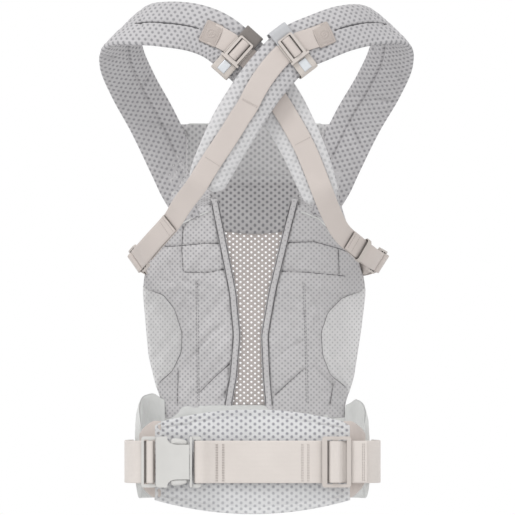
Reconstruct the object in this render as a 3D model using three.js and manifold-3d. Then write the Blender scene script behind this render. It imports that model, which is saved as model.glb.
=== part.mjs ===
// Soft baby carrier, as worn: crossed padded shoulder straps over a lumbar belt.
// Millimetres, +Z up, +X to the wearer's right hand as seen from behind the wearer,
// -Y towards the wearer's back. The origin is the centre of the waist ring, on the belt's centreline.

import * as THREE from 'three';
import { mergeVertices } from 'three/addons/utils/BufferGeometryUtils.js';
import Module from 'manifold-3d';

// ---- driving dimensions ----
const GAP = 0.4;                 // clearance between touching pieces
const BELT_WIDTH = 50;           // standard belt webbing
const STRAP_WEBBING = 25;        // standard shoulder webbing
const WEBBING = 1.4;             // webbing thickness
const PAD_HALF = 28.5;           // half width of a shoulder strap
const PAD_THICK = 13;            // thickness of a shoulder strap
const LAYER = 3;                 // air mesh layer
const PANEL_THICK = 8;           // quilted body panel
const LEG_PAD_THICK = 13;        // puffed leg pad
const BINDING = 9.5;             // binding strip beside the window
const WINDOW_THICK = 2;          // single layer of open mesh
const PANEL_BOTTOM = 66;
const WINDOW_TOP = 275;
const BINDING_TOP = 310;
const FLAP_EDGE = 292;           // top of the quilted halves
const FOLD_Z = 337;              // fold between neck support and head flap
const PANEL_TOP = 396;
const FLAP_HALF = 81;            // half width of the head flap
const NECK_HALF = 53;            // half width of the neck support
const LUMBAR_OUT = -88;          // outer face of the lumbar pad
const LUMBAR_IN = -72;           // face that rests on the wearer's back
const LUMBAR_HALF = 60;          // half height at the middle
const BAND_THICK = 14;           // front waistband
const BAND_BOTTOM = -45;
const WING_THICK = 8;
const BUCKLE_Y = -98;            // middle plane of the buckle
const BUCKLE_THICK = 13;
const BUCKLE_HALF = 30;          // half height of the buckle
const SOCKET_LEFT = -133.5;      // webbing end of the socket
const SOCKET_BODY = -116.5;      // where the socket's body starts
const SOCKET_MOUTH = -77;        // open end of the socket
const PLUG_END = -63.5;          // webbing end of the plug
const GLIDE_LEFT = 79;           // tri-glide
const GLIDE_RIGHT = 113;
const ADJUSTER_WIDTH = 31;
const ADJUSTER_THICK = 4;
const SLIDER_LIFT = 10.8;        // underside of a strap slider above the strap's middle

// ---- colours ----
const COLOURS = {
  airMesh: [0xc9c9cc, 0.9],
  lumbarMesh: [0xd8d9db, 0.9],
  windowMesh: [0xcdc6c4, 0.85],
  binding: [0xc4c4c7, 0.8],
  lining: [0xdedfdd, 0.85],
  foam: [0xe6e4dc, 0.95],
  webbing: [0xd8cdc7, 0.75],
  plastic: [0xdedddb, 0.45],
  elastic: [0xc9c4bd, 0.8],
  reflective: [0xdfe2e6, 0.3],
  label: [0xcfc3bc, 0.6],
};

const wasm = await Module();
wasm.setup();
const carrier = new THREE.Group();

function addPiece(name, colour, geometry) {
  const [color, roughness] = COLOURS[colour];
  const material = new THREE.MeshStandardMaterial({ color, roughness, metalness: 0 });
  const mesh = new THREE.Mesh(geometry, material);
  mesh.name = name;
  carrier.add(mesh);
}

// ---- booleans ----
function toManifold(geometry) {
  const bare = new THREE.BufferGeometry();
  bare.setAttribute('position', geometry.getAttribute('position').clone());
  if (geometry.index) bare.setIndex(geometry.index.clone());
  const merged = mergeVertices(bare, 1e-4);
  const vertProperties = new Float32Array(merged.getAttribute('position').array);
  const triVerts = new Uint32Array(merged.index.array);
  return new wasm.Manifold(new wasm.Mesh({ numProp: 3, vertProperties, triVerts }));
}

function toGeometry(solid) {
  const mesh = solid.getMesh();
  const geometry = new THREE.BufferGeometry();
  geometry.setAttribute('position', new THREE.BufferAttribute(mesh.vertProperties, 3));
  geometry.setIndex(new THREE.BufferAttribute(mesh.triVerts, 1));
  geometry.computeVertexNormals();
  return geometry;
}

function cut(solid, ...tools) {
  return tools.reduce((left, tool) => left.subtract(toManifold(tool)), solid);
}

function join(solid, ...others) {
  return others.reduce((sum, other) => sum.add(toManifold(other)), solid);
}

function box(xLow, xHigh, yLow, yHigh, zLow, zHigh) {
  const geometry = new THREE.BoxGeometry(xHigh - xLow, yHigh - yLow, zHigh - zLow);
  return geometry.translate((xLow + xHigh) / 2, (yLow + yHigh) / 2, (zLow + zHigh) / 2);
}

// A plate or block with slots cut right through it.
function slotted(geometry, ...slots) {
  return toGeometry(cut(toManifold(geometry), ...slots));
}

// ---- closed sheets ----
// A closed solid between two grids of points of the same size.
function sheetSolid(outer, inner) {
  const rows = outer.length;
  const cols = outer[0].length;
  const positions = [];
  for (const grid of [outer, inner]) {
    for (const row of grid) {
      for (const point of row) positions.push(point.x, point.y, point.z);
    }
  }
  const at = (side, row, col) => side * rows * cols + row * cols + col;
  const triangles = [];
  const quad = (a, b, c, d) => triangles.push(a, b, c, a, c, d);
  for (let i = 0; i < rows - 1; i++) {
    for (let j = 0; j < cols - 1; j++) {
      quad(at(0, i, j), at(0, i, j + 1), at(0, i + 1, j + 1), at(0, i + 1, j));
      quad(at(1, i, j), at(1, i + 1, j), at(1, i + 1, j + 1), at(1, i, j + 1));
    }
    quad(at(0, i, 0), at(0, i + 1, 0), at(1, i + 1, 0), at(1, i, 0));
    quad(at(0, i, cols - 1), at(1, i, cols - 1), at(1, i + 1, cols - 1), at(0, i + 1, cols - 1));
  }
  for (let j = 0; j < cols - 1; j++) {
    quad(at(0, 0, j), at(1, 0, j), at(1, 0, j + 1), at(0, 0, j + 1));
    quad(at(0, rows - 1, j), at(0, rows - 1, j + 1), at(1, rows - 1, j + 1), at(1, rows - 1, j));
  }
  if (signedVolume(positions, triangles) < 0) triangles.reverse();
  const geometry = new THREE.BufferGeometry();
  geometry.setAttribute('position', new THREE.Float32BufferAttribute(positions, 3));
  geometry.setIndex(triangles);
  geometry.computeVertexNormals();
  return geometry;
}

function signedVolume(positions, triangles) {
  const corner = (k) => new THREE.Vector3().fromArray(positions, 3 * triangles[k]);
  let volume = 0;
  for (let k = 0; k < triangles.length; k += 3) {
    volume += corner(k).dot(corner(k + 1).cross(corner(k + 2)));
  }
  return volume;
}

// ---- frames along a ribbon: point p, tangent t, width direction w, outward normal n ----
function frameAt(p, t, n) {
  const tangent = t.clone().normalize();
  const normal = n.clone().addScaledVector(tangent, -n.dot(tangent)).normalize();
  return { p, t: tangent, n: normal, w: new THREE.Vector3().crossVectors(tangent, normal) };
}

// A route is a list of [x, y, z, nx, ny, nz]: points and the outward direction at each.
class Route {
  constructor(stations) {
    const vectors = (k) => stations.map((s) => new THREE.Vector3(s[k], s[k + 1], s[k + 2]));
    this.path = new THREE.CatmullRomCurve3(vectors(0), false, 'centripetal');
    this.normals = new THREE.CatmullRomCurve3(vectors(3), false, 'centripetal');
  }

  at(u) {
    const p = this.path.getPoint(u);
    return frameAt(p, this.path.getTangent(u), this.normals.getPoint(u));
  }

  frames(from, to, steps) {
    const list = [];
    for (let i = 0; i <= steps; i++) {
      const u = from + ((to - from) * i) / steps;
      list.push({ ...this.at(u), u });
    }
    return list;
  }
}

function shifted(frame, across, out) {
  const p = frame.p.clone().addScaledVector(frame.w, across).addScaledVector(frame.n, out);
  return { ...frame, p };
}

// A flat band along frames. low and high give the width on each side, from the place on the
// route, or from 0..1 along the frames where they have no route.
function ribbon(frames, low, high, inner, outer, cols = 1) {
  const grid = (out) => frames.map((frame, i) => {
    const s = frame.u ?? i / (frames.length - 1);
    const row = [];
    for (let j = 0; j <= cols; j++) {
      const across = THREE.MathUtils.lerp(low(s), high(s), j / cols);
      row.push(shifted(frame, across, out).p);
    }
    return row;
  });
  return sheetSolid(grid(outer), grid(inner));
}

function webbingAlong(frames, width) {
  return ribbon(frames, () => -width / 2, () => width / 2, -WEBBING / 2, WEBBING / 2);
}

// Frames for a bend in one plane, from [a, b] points in the axes of a base frame.
function bendFrames(points, place, w) {
  const curve = new THREE.CatmullRomCurve3(points.map(([a, b]) => place(a, b)), false, 'centripetal');
  const frames = [];
  const steps = (points.length - 1) * 2;
  for (let i = 0; i <= steps; i++) {
    const t = curve.getTangent(i / steps);
    frames.push(frameAt(curve.getPoint(i / steps), t, new THREE.Vector3().crossVectors(w, t)));
  }
  return frames;
}

// Piecewise linear value through [key, value] pairs.
function through(pairs, key) {
  for (let i = 1; i < pairs.length; i++) {
    const [k0, v0] = pairs[i - 1];
    const [k1, v1] = pairs[i];
    if (key <= k1) return THREE.MathUtils.lerp(v0, v1, Math.max(0, (key - k0) / (k1 - k0)));
  }
  return pairs[pairs.length - 1][1];
}

// ---- body panel ----
const PANEL_MIDDLE = [[55, 88], [120, 103], [180, 108], [250, 101], [320, 92], [396, 84]];
const PANEL_CUP = [[55, 36], [90, 48], [120, 58], [200, 58], [250, 40], [300, 22], [396, 8]];
const SIDE_EDGE = {
  left: [[66, -109], [90, -117], [124, -125], [202, -132], [221, -130], [295, -101], [396, -86]],
  right: [[66, 106], [97, 116], [156, 125], [198, 130], [214, 129], [301, 102], [396, 85]],
};
const LEG_SEAM = {
  left: [[91, -116], [105, -99], [128, -88], [151, -87], [179, -96], [198, -111], [202, -131]],
  right: [[85, 111], [101, 90], [124, 81], [151, 79], [175, 87], [194, 106], [200, 129]],
};
const WINDOW_EDGE = {
  left: [[66, -27], [100, -21], [148, -17], [200, -22], [275, -37], [310, -44]],
  right: [[66, 12], [100, 9], [148, 7], [200, 16], [275, 34], [310, 43]],
};
const CUP_POWER = 2.2;
const CUP_AT = 130;
const SIGN = { left: -1, right: 1 };

function panelY(x, z) {
  const reach = Math.abs(x) / CUP_AT;
  return through(PANEL_MIDDLE, z) - through(PANEL_CUP, z) * reach ** CUP_POWER;
}

// A piece of the panel between two edges x(z), from a list of heights.
function panelPiece(heights, edgeA, edgeB, cols, thick) {
  const grid = (out) => heights.map((z) => {
    const row = [];
    for (let j = 0; j <= cols; j++) {
      const x = THREE.MathUtils.lerp(edgeA(z), edgeB(z), j / cols);
      row.push(new THREE.Vector3(x, panelY(x, z) + out, z));
    }
    return row;
  });
  return sheetSolid(grid(thick / 2), grid(-thick / 2));
}

function heightsBetween(low, high, step) {
  const count = Math.max(1, Math.round((high - low) / step));
  return Array.from({ length: count + 1 }, (_, i) => low + ((high - low) * i) / count);
}

function bindingOuter(side, z) {
  return through(WINDOW_EDGE[side], z) + SIGN[side] * BINDING;
}

function outerLimit(side, z) {
  const seam = LEG_SEAM[side];
  const onSeam = z >= seam[0][0] && z <= seam[seam.length - 1][0];
  return onSeam ? through(seam, z) : through(SIDE_EDGE[side], z);
}

function makePanelHalf(side) {
  const seam = LEG_SEAM[side];
  const seamLow = seam[0][0];
  const seamHigh = seam[seam.length - 1][0];
  const heights = [
    ...heightsBetween(PANEL_BOTTOM, seamLow - 1, 12),
    ...heightsBetween(seamLow, seamHigh, 11),
    ...heightsBetween(seamHigh + 1, FLAP_EDGE, 15),
  ];
  const inside = (z) => bindingOuter(side, z) + SIGN[side] * GAP;
  addPiece(`body_panel_${side}`, 'airMesh',
    panelPiece(heights, inside, (z) => outerLimit(side, z), 5, PANEL_THICK));
}

function makeLegPad(side) {
  const seam = LEG_SEAM[side];
  const heights = heightsBetween(seam[0][0], seam[seam.length - 1][0], 11).slice(1, -1);
  const seamSide = (z) => through(seam, z) + SIGN[side] * 1.2;
  const edgeSide = (z) => through(SIDE_EDGE[side], z);
  addPiece(`leg_pad_${side}`, 'airMesh', panelPiece(heights, seamSide, edgeSide, 3, LEG_PAD_THICK));
}

function makeWindow() {
  const heights = heightsBetween(PANEL_BOTTOM, WINDOW_TOP, 20);
  const edge = (side) => (z) => through(WINDOW_EDGE[side], z) - SIGN[side] * GAP;
  addPiece('mesh_window', 'windowMesh', panelPiece(heights, edge('left'), edge('right'), 2, WINDOW_THICK));
}

function makeBinding(side) {
  const heights = heightsBetween(PANEL_BOTTOM, BINDING_TOP, 20);
  const inside = (z) => through(WINDOW_EDGE[side], z);
  addPiece(`window_binding_${side}`, 'binding',
    panelPiece(heights, inside, (z) => bindingOuter(side, z), 1, PANEL_THICK - 2));
}

function makeUpperPanel(side) {
  const heights = heightsBetween(FLAP_EDGE + 1, FOLD_Z - 1, 15);
  const inside = (z) => SIGN[side] * Math.max(Math.abs(bindingOuter(side, z)), NECK_HALF) + SIGN[side] * 0.6;
  addPiece(`upper_panel_${side}`, 'airMesh',
    panelPiece(heights, inside, (z) => through(SIDE_EDGE[side], z), 2, PANEL_THICK));
}

function makeNeckSupport() {
  const heights = [...heightsBetween(WINDOW_TOP + 1, BINDING_TOP, 12), BINDING_TOP + 1, FOLD_Z - 1];
  const edge = (side) => (z) => (z <= BINDING_TOP
    ? through(WINDOW_EDGE[side], z) - SIGN[side] * GAP
    : SIGN[side] * NECK_HALF);
  addPiece('neck_support', 'airMesh', panelPiece(heights, edge('left'), edge('right'), 4, PANEL_THICK));
}

function makeHeadFlap() {
  const heights = heightsBetween(FOLD_Z + 1, PANEL_TOP, 20);
  addPiece('head_flap', 'airMesh', panelPiece(heights, () => -FLAP_HALF, () => FLAP_HALF, 8, PANEL_THICK));
}

// ---- waist ----
const UP = new THREE.Vector3(0, 0, 1);
const DOWN = new THREE.Vector3(0, 0, -1);

function waistPoint(z) {
  return (x, y) => new THREE.Vector3(x, y, z);
}

// Frames in the XY plane, walking from the left to the right round the back.
function waistFrames(points) {
  return bendFrames(points, waistPoint(0), DOWN);
}

function makeFrontWaistband() {
  const half = [[112, 60], [95, 70], [60, 81], [0, 88]];
  const mirrored = half.slice(0, -1).reverse().map(([x, y]) => [-x, y]);
  const frames = bendFrames([...half, ...mirrored], waistPoint(0), DOWN);
  const top = PANEL_BOTTOM - 2;
  const foamInset = 12;
  const low = () => -top;
  const high = () => -BAND_BOTTOM;
  const shell = BAND_THICK / 2;
  const core = shell - LAYER;
  addPiece('front_waistband_cover', 'lumbarMesh', ribbon(frames, low, high, core + GAP, shell));
  addPiece('front_waistband_lining', 'lining', ribbon(frames, low, high, -shell, -core - GAP));
  addPiece('front_waistband_foam', 'foam',
    ribbon(frames.slice(1, -1), () => -top + foamInset, () => -BAND_BOTTOM - foamInset, -core, core));
}

function makeWing(side) {
  const s = SIGN[side];
  const reach = side === 'left' ? 136 : 130;
  const points = [[s * 115, 56], [s * (reach - 6), 38], [s * reach, 5], [s * (reach - 1), -28]];
  const frames = bendFrames(points, waistPoint(0), s < 0 ? DOWN : UP);
  const crest = side === 'left' ? 80 : 73;
  const top = (t) => through([[0, 62], [0.2, crest - 2], [0.4, crest - 4], [0.7, crest - 14], [1, 45]], t);
  const bottom = (t) => through([[0, -44], [0.75, -44], [1, -26]], t);
  const low = s < 0 ? (t) => -top(t) : bottom;
  const high = s < 0 ? (t) => -bottom(t) : top;
  addPiece(`waist_wing_${side}`, 'lining', ribbon(frames, low, high, -WING_THICK / 2, WING_THICK / 2, 2));
}

function makeSideTab(side) {
  const s = SIGN[side];
  const start = side === 'left' ? 119.5 : 113.5;
  const points = [[s * start, -79], [s * (start + 10), -66], [s * (start + 16), -48]];
  const frames = bendFrames(points, waistPoint(0), s < 0 ? UP : DOWN);
  const top = (t) => THREE.MathUtils.lerp(48, 33, t);
  const bottom = (t) => THREE.MathUtils.lerp(-42, -24, t);
  const low = s < 0 ? bottom : (t) => -top(t);
  const high = s < 0 ? top : (t) => -bottom(t);
  addPiece(`side_tab_${side}`, 'webbing', ribbon(frames, low, high, -WEBBING / 2, WEBBING / 2));
}

// ---- flat plates ----
function arcPoints(cx, cy, radius, from, to, count) {
  return Array.from({ length: count + 1 }, (_, i) => {
    const angle = from + ((to - from) * i) / count;
    return [cx + radius * Math.cos(angle), cy + radius * Math.sin(angle)];
  });
}

function roundedOutline(xLow, xHigh, zLow, zHigh, radius) {
  const corners = [[xHigh, zLow, -0.5], [xHigh, zHigh, 0], [xLow, zHigh, 0.5], [xLow, zLow, 1]];
  const points = corners.flatMap(([x, z, turn]) => {
    const cx = x === xHigh ? x - radius : x + radius;
    const cz = z === zHigh ? z - radius : z + radius;
    return arcPoints(cx, cz, radius, turn * Math.PI, (turn + 0.5) * Math.PI, 3);
  });
  return new THREE.Shape(points.map(([x, z]) => new THREE.Vector2(x, z)));
}

function extrude(shape, depth, curveSegments = 4) {
  return new THREE.ExtrudeGeometry(shape, { depth, bevelEnabled: false, curveSegments });
}

// A shape drawn in X and Z, between two values of Y.
function plate(shape, yLow, yHigh, curveSegments) {
  return extrude(shape, yHigh - yLow, curveSegments).rotateX(Math.PI / 2).translate(0, yHigh, 0);
}

// Local x is across the webbing, y along it, z outwards.
function placeAt(geometry, frame) {
  const matrix = new THREE.Matrix4().makeBasis(frame.w, frame.t, frame.n).setPosition(frame.p);
  return geometry.applyMatrix4(matrix);
}

// ---- lumbar pad ----
function lumbarOutline(inset) {
  const left = -117 + inset;
  const right = 111 - inset;
  const end = 45 - inset;
  const crown = LUMBAR_HALF + 18 - inset;
  const middle = (left + right) / 2;
  const shape = new THREE.Shape();
  shape.moveTo(left, -end);
  shape.quadraticCurveTo(middle, -crown, right, -end);
  shape.lineTo(right, end);
  shape.quadraticCurveTo(middle, crown, left, end);
  return shape;
}

function makeLumbarPad() {
  const segments = 10;
  const innerFace = LUMBAR_IN - LAYER;
  const outerFace = LUMBAR_OUT + LAYER;
  addPiece('lumbar_pad_cover', 'lumbarMesh', plate(lumbarOutline(0), LUMBAR_OUT, outerFace, segments));
  addPiece('lumbar_pad_foam', 'foam',
    plate(lumbarOutline(6), outerFace + GAP, innerFace - GAP, segments));
  addPiece('lumbar_pad_lining', 'lining', plate(lumbarOutline(0), innerFace, LUMBAR_IN, segments));
}

// ---- belt ----
const BELT_SEWN_Y = -91.2;       // middle of the belt webbing on the lumbar pad
const BELT_TAIL_Y = -89.4;       // folded end under it
const BELT_SLOT = BELT_WIDTH / 2 + 1.2;
const TURN = 3.7;                // radius of the webbing round a buckle bar
const SOCKET_BAR = [-125, -121];
const PLUG_BAR = [-69, -65.5];

function makeBeltLeft() {
  const route = [[-144, 34], [-151, 0], [-153, -40], [-149, -70], [-141, -87], [-132, -93.6]];
  const start = [SOCKET_BAR[1] - 1.6, BUCKLE_Y + TURN];
  const turn = arcPoints(SOCKET_BAR[1] - 1.6, BUCKLE_Y, TURN, Math.PI / 2, -Math.PI / 2, 6);
  const back = arcPoints(SOCKET_BAR[0] + 1.6, BUCKLE_Y, TURN, -Math.PI / 2, -Math.PI, 3);
  const frames = waistFrames([...route, [start[0] - 3, start[1]], ...turn, ...back]);
  addPiece('belt_webbing_left', 'webbing', webbingAlong(frames, BELT_WIDTH));
}

function makeBeltFront() {
  const turn = arcPoints(PLUG_BAR[0] + 1.6, BUCKLE_Y, TURN, Math.PI / 2, 1.5 * Math.PI, 6);
  const under = [[-44, BELT_TAIL_Y], [-54, BELT_TAIL_Y - 0.6], [-62, BUCKLE_Y + TURN + 0.3]];
  const over = [[-62, BUCKLE_Y - TURN + 0.4], [-52, -94.5], [-42, BELT_SEWN_Y]];
  const sewn = [[-10, BELT_SEWN_Y], [30, BELT_SEWN_Y], [70, BELT_SEWN_Y], [104, BELT_SEWN_Y]];
  const round = [[118, -90.6], [133, -83], [145, -62], [147, -25], [143, 5], [138, 32]];
  const frames = waistFrames([...under, ...turn, ...over, ...sewn, ...round]);
  addPiece('belt_webbing_front', 'webbing', webbingAlong(frames, BELT_WIDTH));
}

function makeTriGlide() {
  const low = BUCKLE_Y + 0.6;
  const high = low + 3.4;
  const outline = roundedOutline(GLIDE_LEFT, GLIDE_RIGHT, -BUCKLE_HALF, BUCKLE_HALF, 3);
  const slot = (left, right) => box(left, right, low - 1, high + 1, -BELT_SLOT, BELT_SLOT);
  addPiece('belt_tri_glide', 'plastic', slotted(plate(outline, low, high),
    slot(GLIDE_LEFT + 6, GLIDE_LEFT + 12), slot(GLIDE_LEFT + 19, GLIDE_RIGHT - 5)));
}

function makeBeltTail() {
  const under = -93.1;
  const over = BUCKLE_Y - 1.2;
  const points = [
    [83, under], [86.5, under - 0.6], [88.4, -96.5], [90.5, over], [94.5, over - 0.2],
    [98.5, over], [101.5, -96.5], [104.5, under - 0.7], [110, under], [121, under - 0.1], [132, under + 0.2],
  ];
  addPiece('belt_webbing_tail', 'webbing', webbingAlong(waistFrames(points), BELT_WIDTH - 1));
}

// ---- side-release buckle ----
const NOTCH_LEFT = -103;
const NOTCH_DEPTH = 9.5;
const CAVITY_HALF = 24.8;
const CAVITY_Y = 4.2;
const TONGUE_HALF = 8;

function makeSocket() {
  const low = BUCKLE_Y - BUCKLE_THICK / 2;
  const high = BUCKLE_Y + BUCKLE_THICK / 2;
  const edge = BUCKLE_HALF + 1;
  const body = plate(roundedOutline(SOCKET_BODY, SOCKET_MOUTH, -BUCKLE_HALF, BUCKLE_HALF, 4), low, high);
  const cavity = box(SOCKET_BODY + 4, SOCKET_MOUTH + 1, BUCKLE_Y - CAVITY_Y, BUCKLE_Y + CAVITY_Y,
    -CAVITY_HALF, CAVITY_HALF);
  const notch = (s) => {
    const shape = new THREE.Shape();
    shape.moveTo(NOTCH_LEFT, s * edge);
    shape.lineTo(NOTCH_LEFT, s * (BUCKLE_HALF - 3));
    shape.quadraticCurveTo(NOTCH_LEFT + 2, s * (BUCKLE_HALF - NOTCH_DEPTH), NOTCH_LEFT + 12,
      s * (BUCKLE_HALF - NOTCH_DEPTH));
    shape.lineTo(SOCKET_MOUTH + 1, s * (BUCKLE_HALF - NOTCH_DEPTH));
    shape.lineTo(SOCKET_MOUTH + 1, s * edge);
    return plate(shape, low - 1, high + 1);
  };
  const frame = roundedOutline(SOCKET_LEFT, SOCKET_BODY + 1.5, -BUCKLE_HALF, BUCKLE_HALF, 3);
  const slot = (left, right) => box(left, right, low, high, -BELT_SLOT, BELT_SLOT);
  const ladder = slotted(plate(frame, BUCKLE_Y - 2, BUCKLE_Y + 1.6),
    slot(SOCKET_LEFT + 3, SOCKET_BAR[0]), slot(SOCKET_BAR[1], SOCKET_BODY));
  const shell = cut(toManifold(body), cavity, notch(1), notch(-1));
  addPiece('buckle_socket', 'plastic', toGeometry(join(shell, ladder)));
}

function makePlug() {
  const low = BUCKLE_Y - BUCKLE_THICK / 2 + 1;
  const high = BUCKLE_Y + BUCKLE_THICK / 2 - 1;
  const start = SOCKET_MOUTH + GAP;
  const base = plate(roundedOutline(start, PLUG_BAR[0] - 5, -BUCKLE_HALF, BUCKLE_HALF, 1), low, high);
  const frame = roundedOutline(start + 1, PLUG_END, -BUCKLE_HALF, BUCKLE_HALF, 2);
  const slot = box(PLUG_BAR[0] - 5, PLUG_BAR[0], low, high, -BELT_SLOT, BELT_SLOT);
  const bar = slotted(plate(frame, BUCKLE_Y - 2, BUCKLE_Y + 2), slot);
  const tongue = box(SOCKET_BODY + 8, start + 1, BUCKLE_Y - 2.5, BUCKLE_Y + 2.5, -TONGUE_HALF, TONGUE_HALF);
  addPiece('buckle_plug', 'plastic', toGeometry(join(toManifold(base), bar, tongue)));
}

function makeProng(name, s) {
  const start = SOCKET_MOUTH - GAP;
  const shape = new THREE.Shape();
  shape.moveTo(start, s * 15);
  shape.lineTo(SOCKET_BODY + 8, s * 16);
  shape.lineTo(SOCKET_BODY + 8, s * 19);
  shape.lineTo(NOTCH_LEFT + 3, s * 20);
  shape.quadraticCurveTo(NOTCH_LEFT + 4, s * 27.5, NOTCH_LEFT + 11, s * 28);
  shape.lineTo(start - 3, s * 25);
  shape.lineTo(start, s * 20);
  addPiece(name, 'plastic', plate(shape, BUCKLE_Y - 3.6, BUCKLE_Y + 3.6));
}

// ---- shoulder straps ----
// From the panel's corner at the wearer's front, over the shoulder, and down across the back.
const STRAP_RIGHT = new Route([
  [84, 82, 322, 0, 1, 0], [97, 80, 351, 0, 1, 0], [122, 68, 402, 0.1, 0.95, 0.2],
  [146, 44, 443, 0.3, 0.8, 0.5], [161, 10, 478, 0.45, 0.35, 0.82], [160, -26, 506, 0.45, -0.3, 0.83],
  [137, -58, 514, 0.3, -0.75, 0.55], [106, -80, 510, 0.12, -0.94, 0.3], [75, -93, 498.5, 0, -1, 0.1],
  [45, -101, 484, 0, -1, 0], [10, -106, 447, 0, -1, 0], [-10, -105, 418, 0, -1, 0],
  [-28, -102, 388, 0, -1, 0], [-45, -98, 355, 0, -1, 0], [-60, -93, 322, 0, -1, 0],
]);
const STRAP_LEFT = new Route([
  [-82, 82, 318, 0, 1, 0], [-98, 80, 353, 0, 1, 0], [-122, 68, 403, -0.1, 0.95, 0.2],
  [-144, 44, 443, -0.3, 0.8, 0.5], [-158, 10, 478, -0.45, 0.35, 0.82], [-155, -26, 505, -0.45, -0.3, 0.83],
  [-132, -54, 514, -0.3, -0.75, 0.55], [-102, -70, 514.5, -0.12, -0.94, 0.3], [-70, -78, 510, 0, -1, 0.1],
  [-45, -82, 500, 0, -1, 0], [-20, -84, 480, 0, -1, 0], [5, -84, 455, 0, -1, 0],
  [22, -84, 430, 0, -1, 0], [40, -84, 400, 0, -1, 0], [58, -84, 365, 0, -1, 0], [76, -82, 318, 0, -1, 0],
]);
const STRAPS = { left: STRAP_LEFT, right: STRAP_RIGHT };
const CORNER_CUT = 0.11;         // stretch over which the strap grows out of the panel's corner
const TAPER = 0.82;              // where the lower end starts to narrow

function strapEdge(u) {
  return through([[0, PAD_HALF], [TAPER, PAD_HALF], [0.97, 22], [1, 15]], u);
}

function makeStrap(side) {
  const frames = STRAPS[side].frames(0.012, 1, 34);
  const grown = (u) => through([[0, -PAD_HALF + 2], [CORNER_CUT, PAD_HALF], [1, PAD_HALF]], u);
  const inner = (u) => Math.min(grown(u), strapEdge(u));
  const neckward = (margin) => (u) => inner(u) - margin;
  const armward = (margin) => (u) => strapEdge(u) - margin;
  const minus = (edge) => (u) => -edge(u);
  const sides = (margin) => (side === 'right'
    ? [minus(armward(margin)), neckward(margin)]
    : [minus(neckward(margin)), armward(margin)]);
  const half = PAD_THICK / 2;
  const core = half - LAYER;
  addPiece(`strap_cover_${side}`, 'airMesh', ribbon(frames, ...sides(0), core + GAP, half, 2));
  addPiece(`strap_lining_${side}`, 'airMesh', ribbon(frames, ...sides(0), -half, -core - GAP, 2));
  addPiece(`strap_foam_${side}`, 'foam', ribbon(frames.slice(3, -1), ...sides(2), GAP - core, core - GAP, 2));
}

// ---- shoulder webbing, adjusters, tails ----
const ON_STRAP = PAD_THICK / 2 + GAP + WEBBING / 2 + 0.5;
const WEBBING_START = { left: 0.586, right: 0.562 };
// Offset across the strap, against the share of the webbing's way down it.
const WEBBING_ACROSS = {
  left: [[0, 0], [0.17, -4], [0.28, -4], [0.5, -1], [1, -3]],
  right: [[0, 0], [0.17, 4], [0.28, 4], [0.5, -1], [0.7, 0], [1, 9]],
};
// Free stretch from the strap's end to the adjuster at the other side of the panel.
const FREE_RIGHT = [
  [-85, -86, 303, -0.25, -0.95, -0.1], [-97, -68, 284, -0.5, -0.8, -0.2],
  [-114, -40, 264, -0.7, -0.6, -0.3], [-127, -12, 249, -0.77, -0.42, -0.45], [-133, 10, 242, -0.78, -0.34, -0.5],
];
const FREE_LEFT = [
  [88, -78, 296, 0.25, -0.95, -0.1], [101, -60, 271, 0.5, -0.8, -0.2],
  [119, -36, 254, 0.7, -0.6, -0.3], [133, -12, 243, 0.77, -0.42, -0.45], [140, 10, 239, 0.78, -0.34, -0.5],
];
const FREE = { left: FREE_LEFT, right: FREE_RIGHT };
const SAMPLES_ON_STRAP = 12;

function webbingRoute(side) {
  const strap = STRAPS[side];
  const start = WEBBING_START[side];
  const stations = [];
  for (let i = 0; i <= SAMPLES_ON_STRAP; i++) {
    const s = i / SAMPLES_ON_STRAP;
    const frame = shifted(strap.at(THREE.MathUtils.lerp(start, 1, s)), through(WEBBING_ACROSS[side], s), ON_STRAP);
    stations.push([...frame.p.toArray(), ...frame.n.toArray()]);
  }
  return new Route([...stations, ...FREE[side]]);
}

const WEBBING_ROUTES = { left: webbingRoute('left'), right: webbingRoute('right') };
const ADJUSTER_LIFT = 3.2;       // adjuster's middle plane above the webbing
const BAR_FRONT = [-8, -4];
const BAR_MIDDLE = [1, 4.5];
const BAR_END = [11.5, 16];
const WEBBING_STOP = 0.955;      // where the webbing's own node ends and its turn begins

function makeShoulderWebbing(side) {
  const frames = WEBBING_ROUTES[side].frames(0, WEBBING_STOP, 30);
  addPiece(`shoulder_webbing_${side}`, 'webbing', webbingAlong(frames, STRAP_WEBBING));
}

function adjusterFrame(side) {
  const end = WEBBING_ROUTES[side].at(1);
  return shifted(end, 0, ADJUSTER_LIFT);
}

// The adjuster on one side of the panel takes the webbing of the strap on the other shoulder.
const ACROSS = { left: 'right', right: 'left' };

function makeAdjuster(panelSide) {
  const half = ADJUSTER_WIDTH / 2;
  const slot = STRAP_WEBBING / 2 + 0.8;
  const shape = roundedOutline(-half, half, BAR_FRONT[0], BAR_END[1], 2);
  const hole = (from, to) => box(-slot, slot, from, to, -ADJUSTER_THICK, ADJUSTER_THICK);
  const body = extrude(shape, ADJUSTER_THICK, 3).translate(0, 0, -ADJUSTER_THICK / 2);
  const geometry = slotted(body, hole(BAR_FRONT[1], BAR_MIDDLE[0]), hole(BAR_MIDDLE[1], BAR_END[0]));
  addPiece(`adjuster_${panelSide}`, 'plastic', placeAt(geometry, adjusterFrame(ACROSS[panelSide])));
}

const TAIL_END_U = { left: 0.853, right: 0.83 };   // the tail's free end, along the webbing's route
const TAIL_END_LIFT = 3;         // tail's middle above the webbing's at that end

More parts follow.
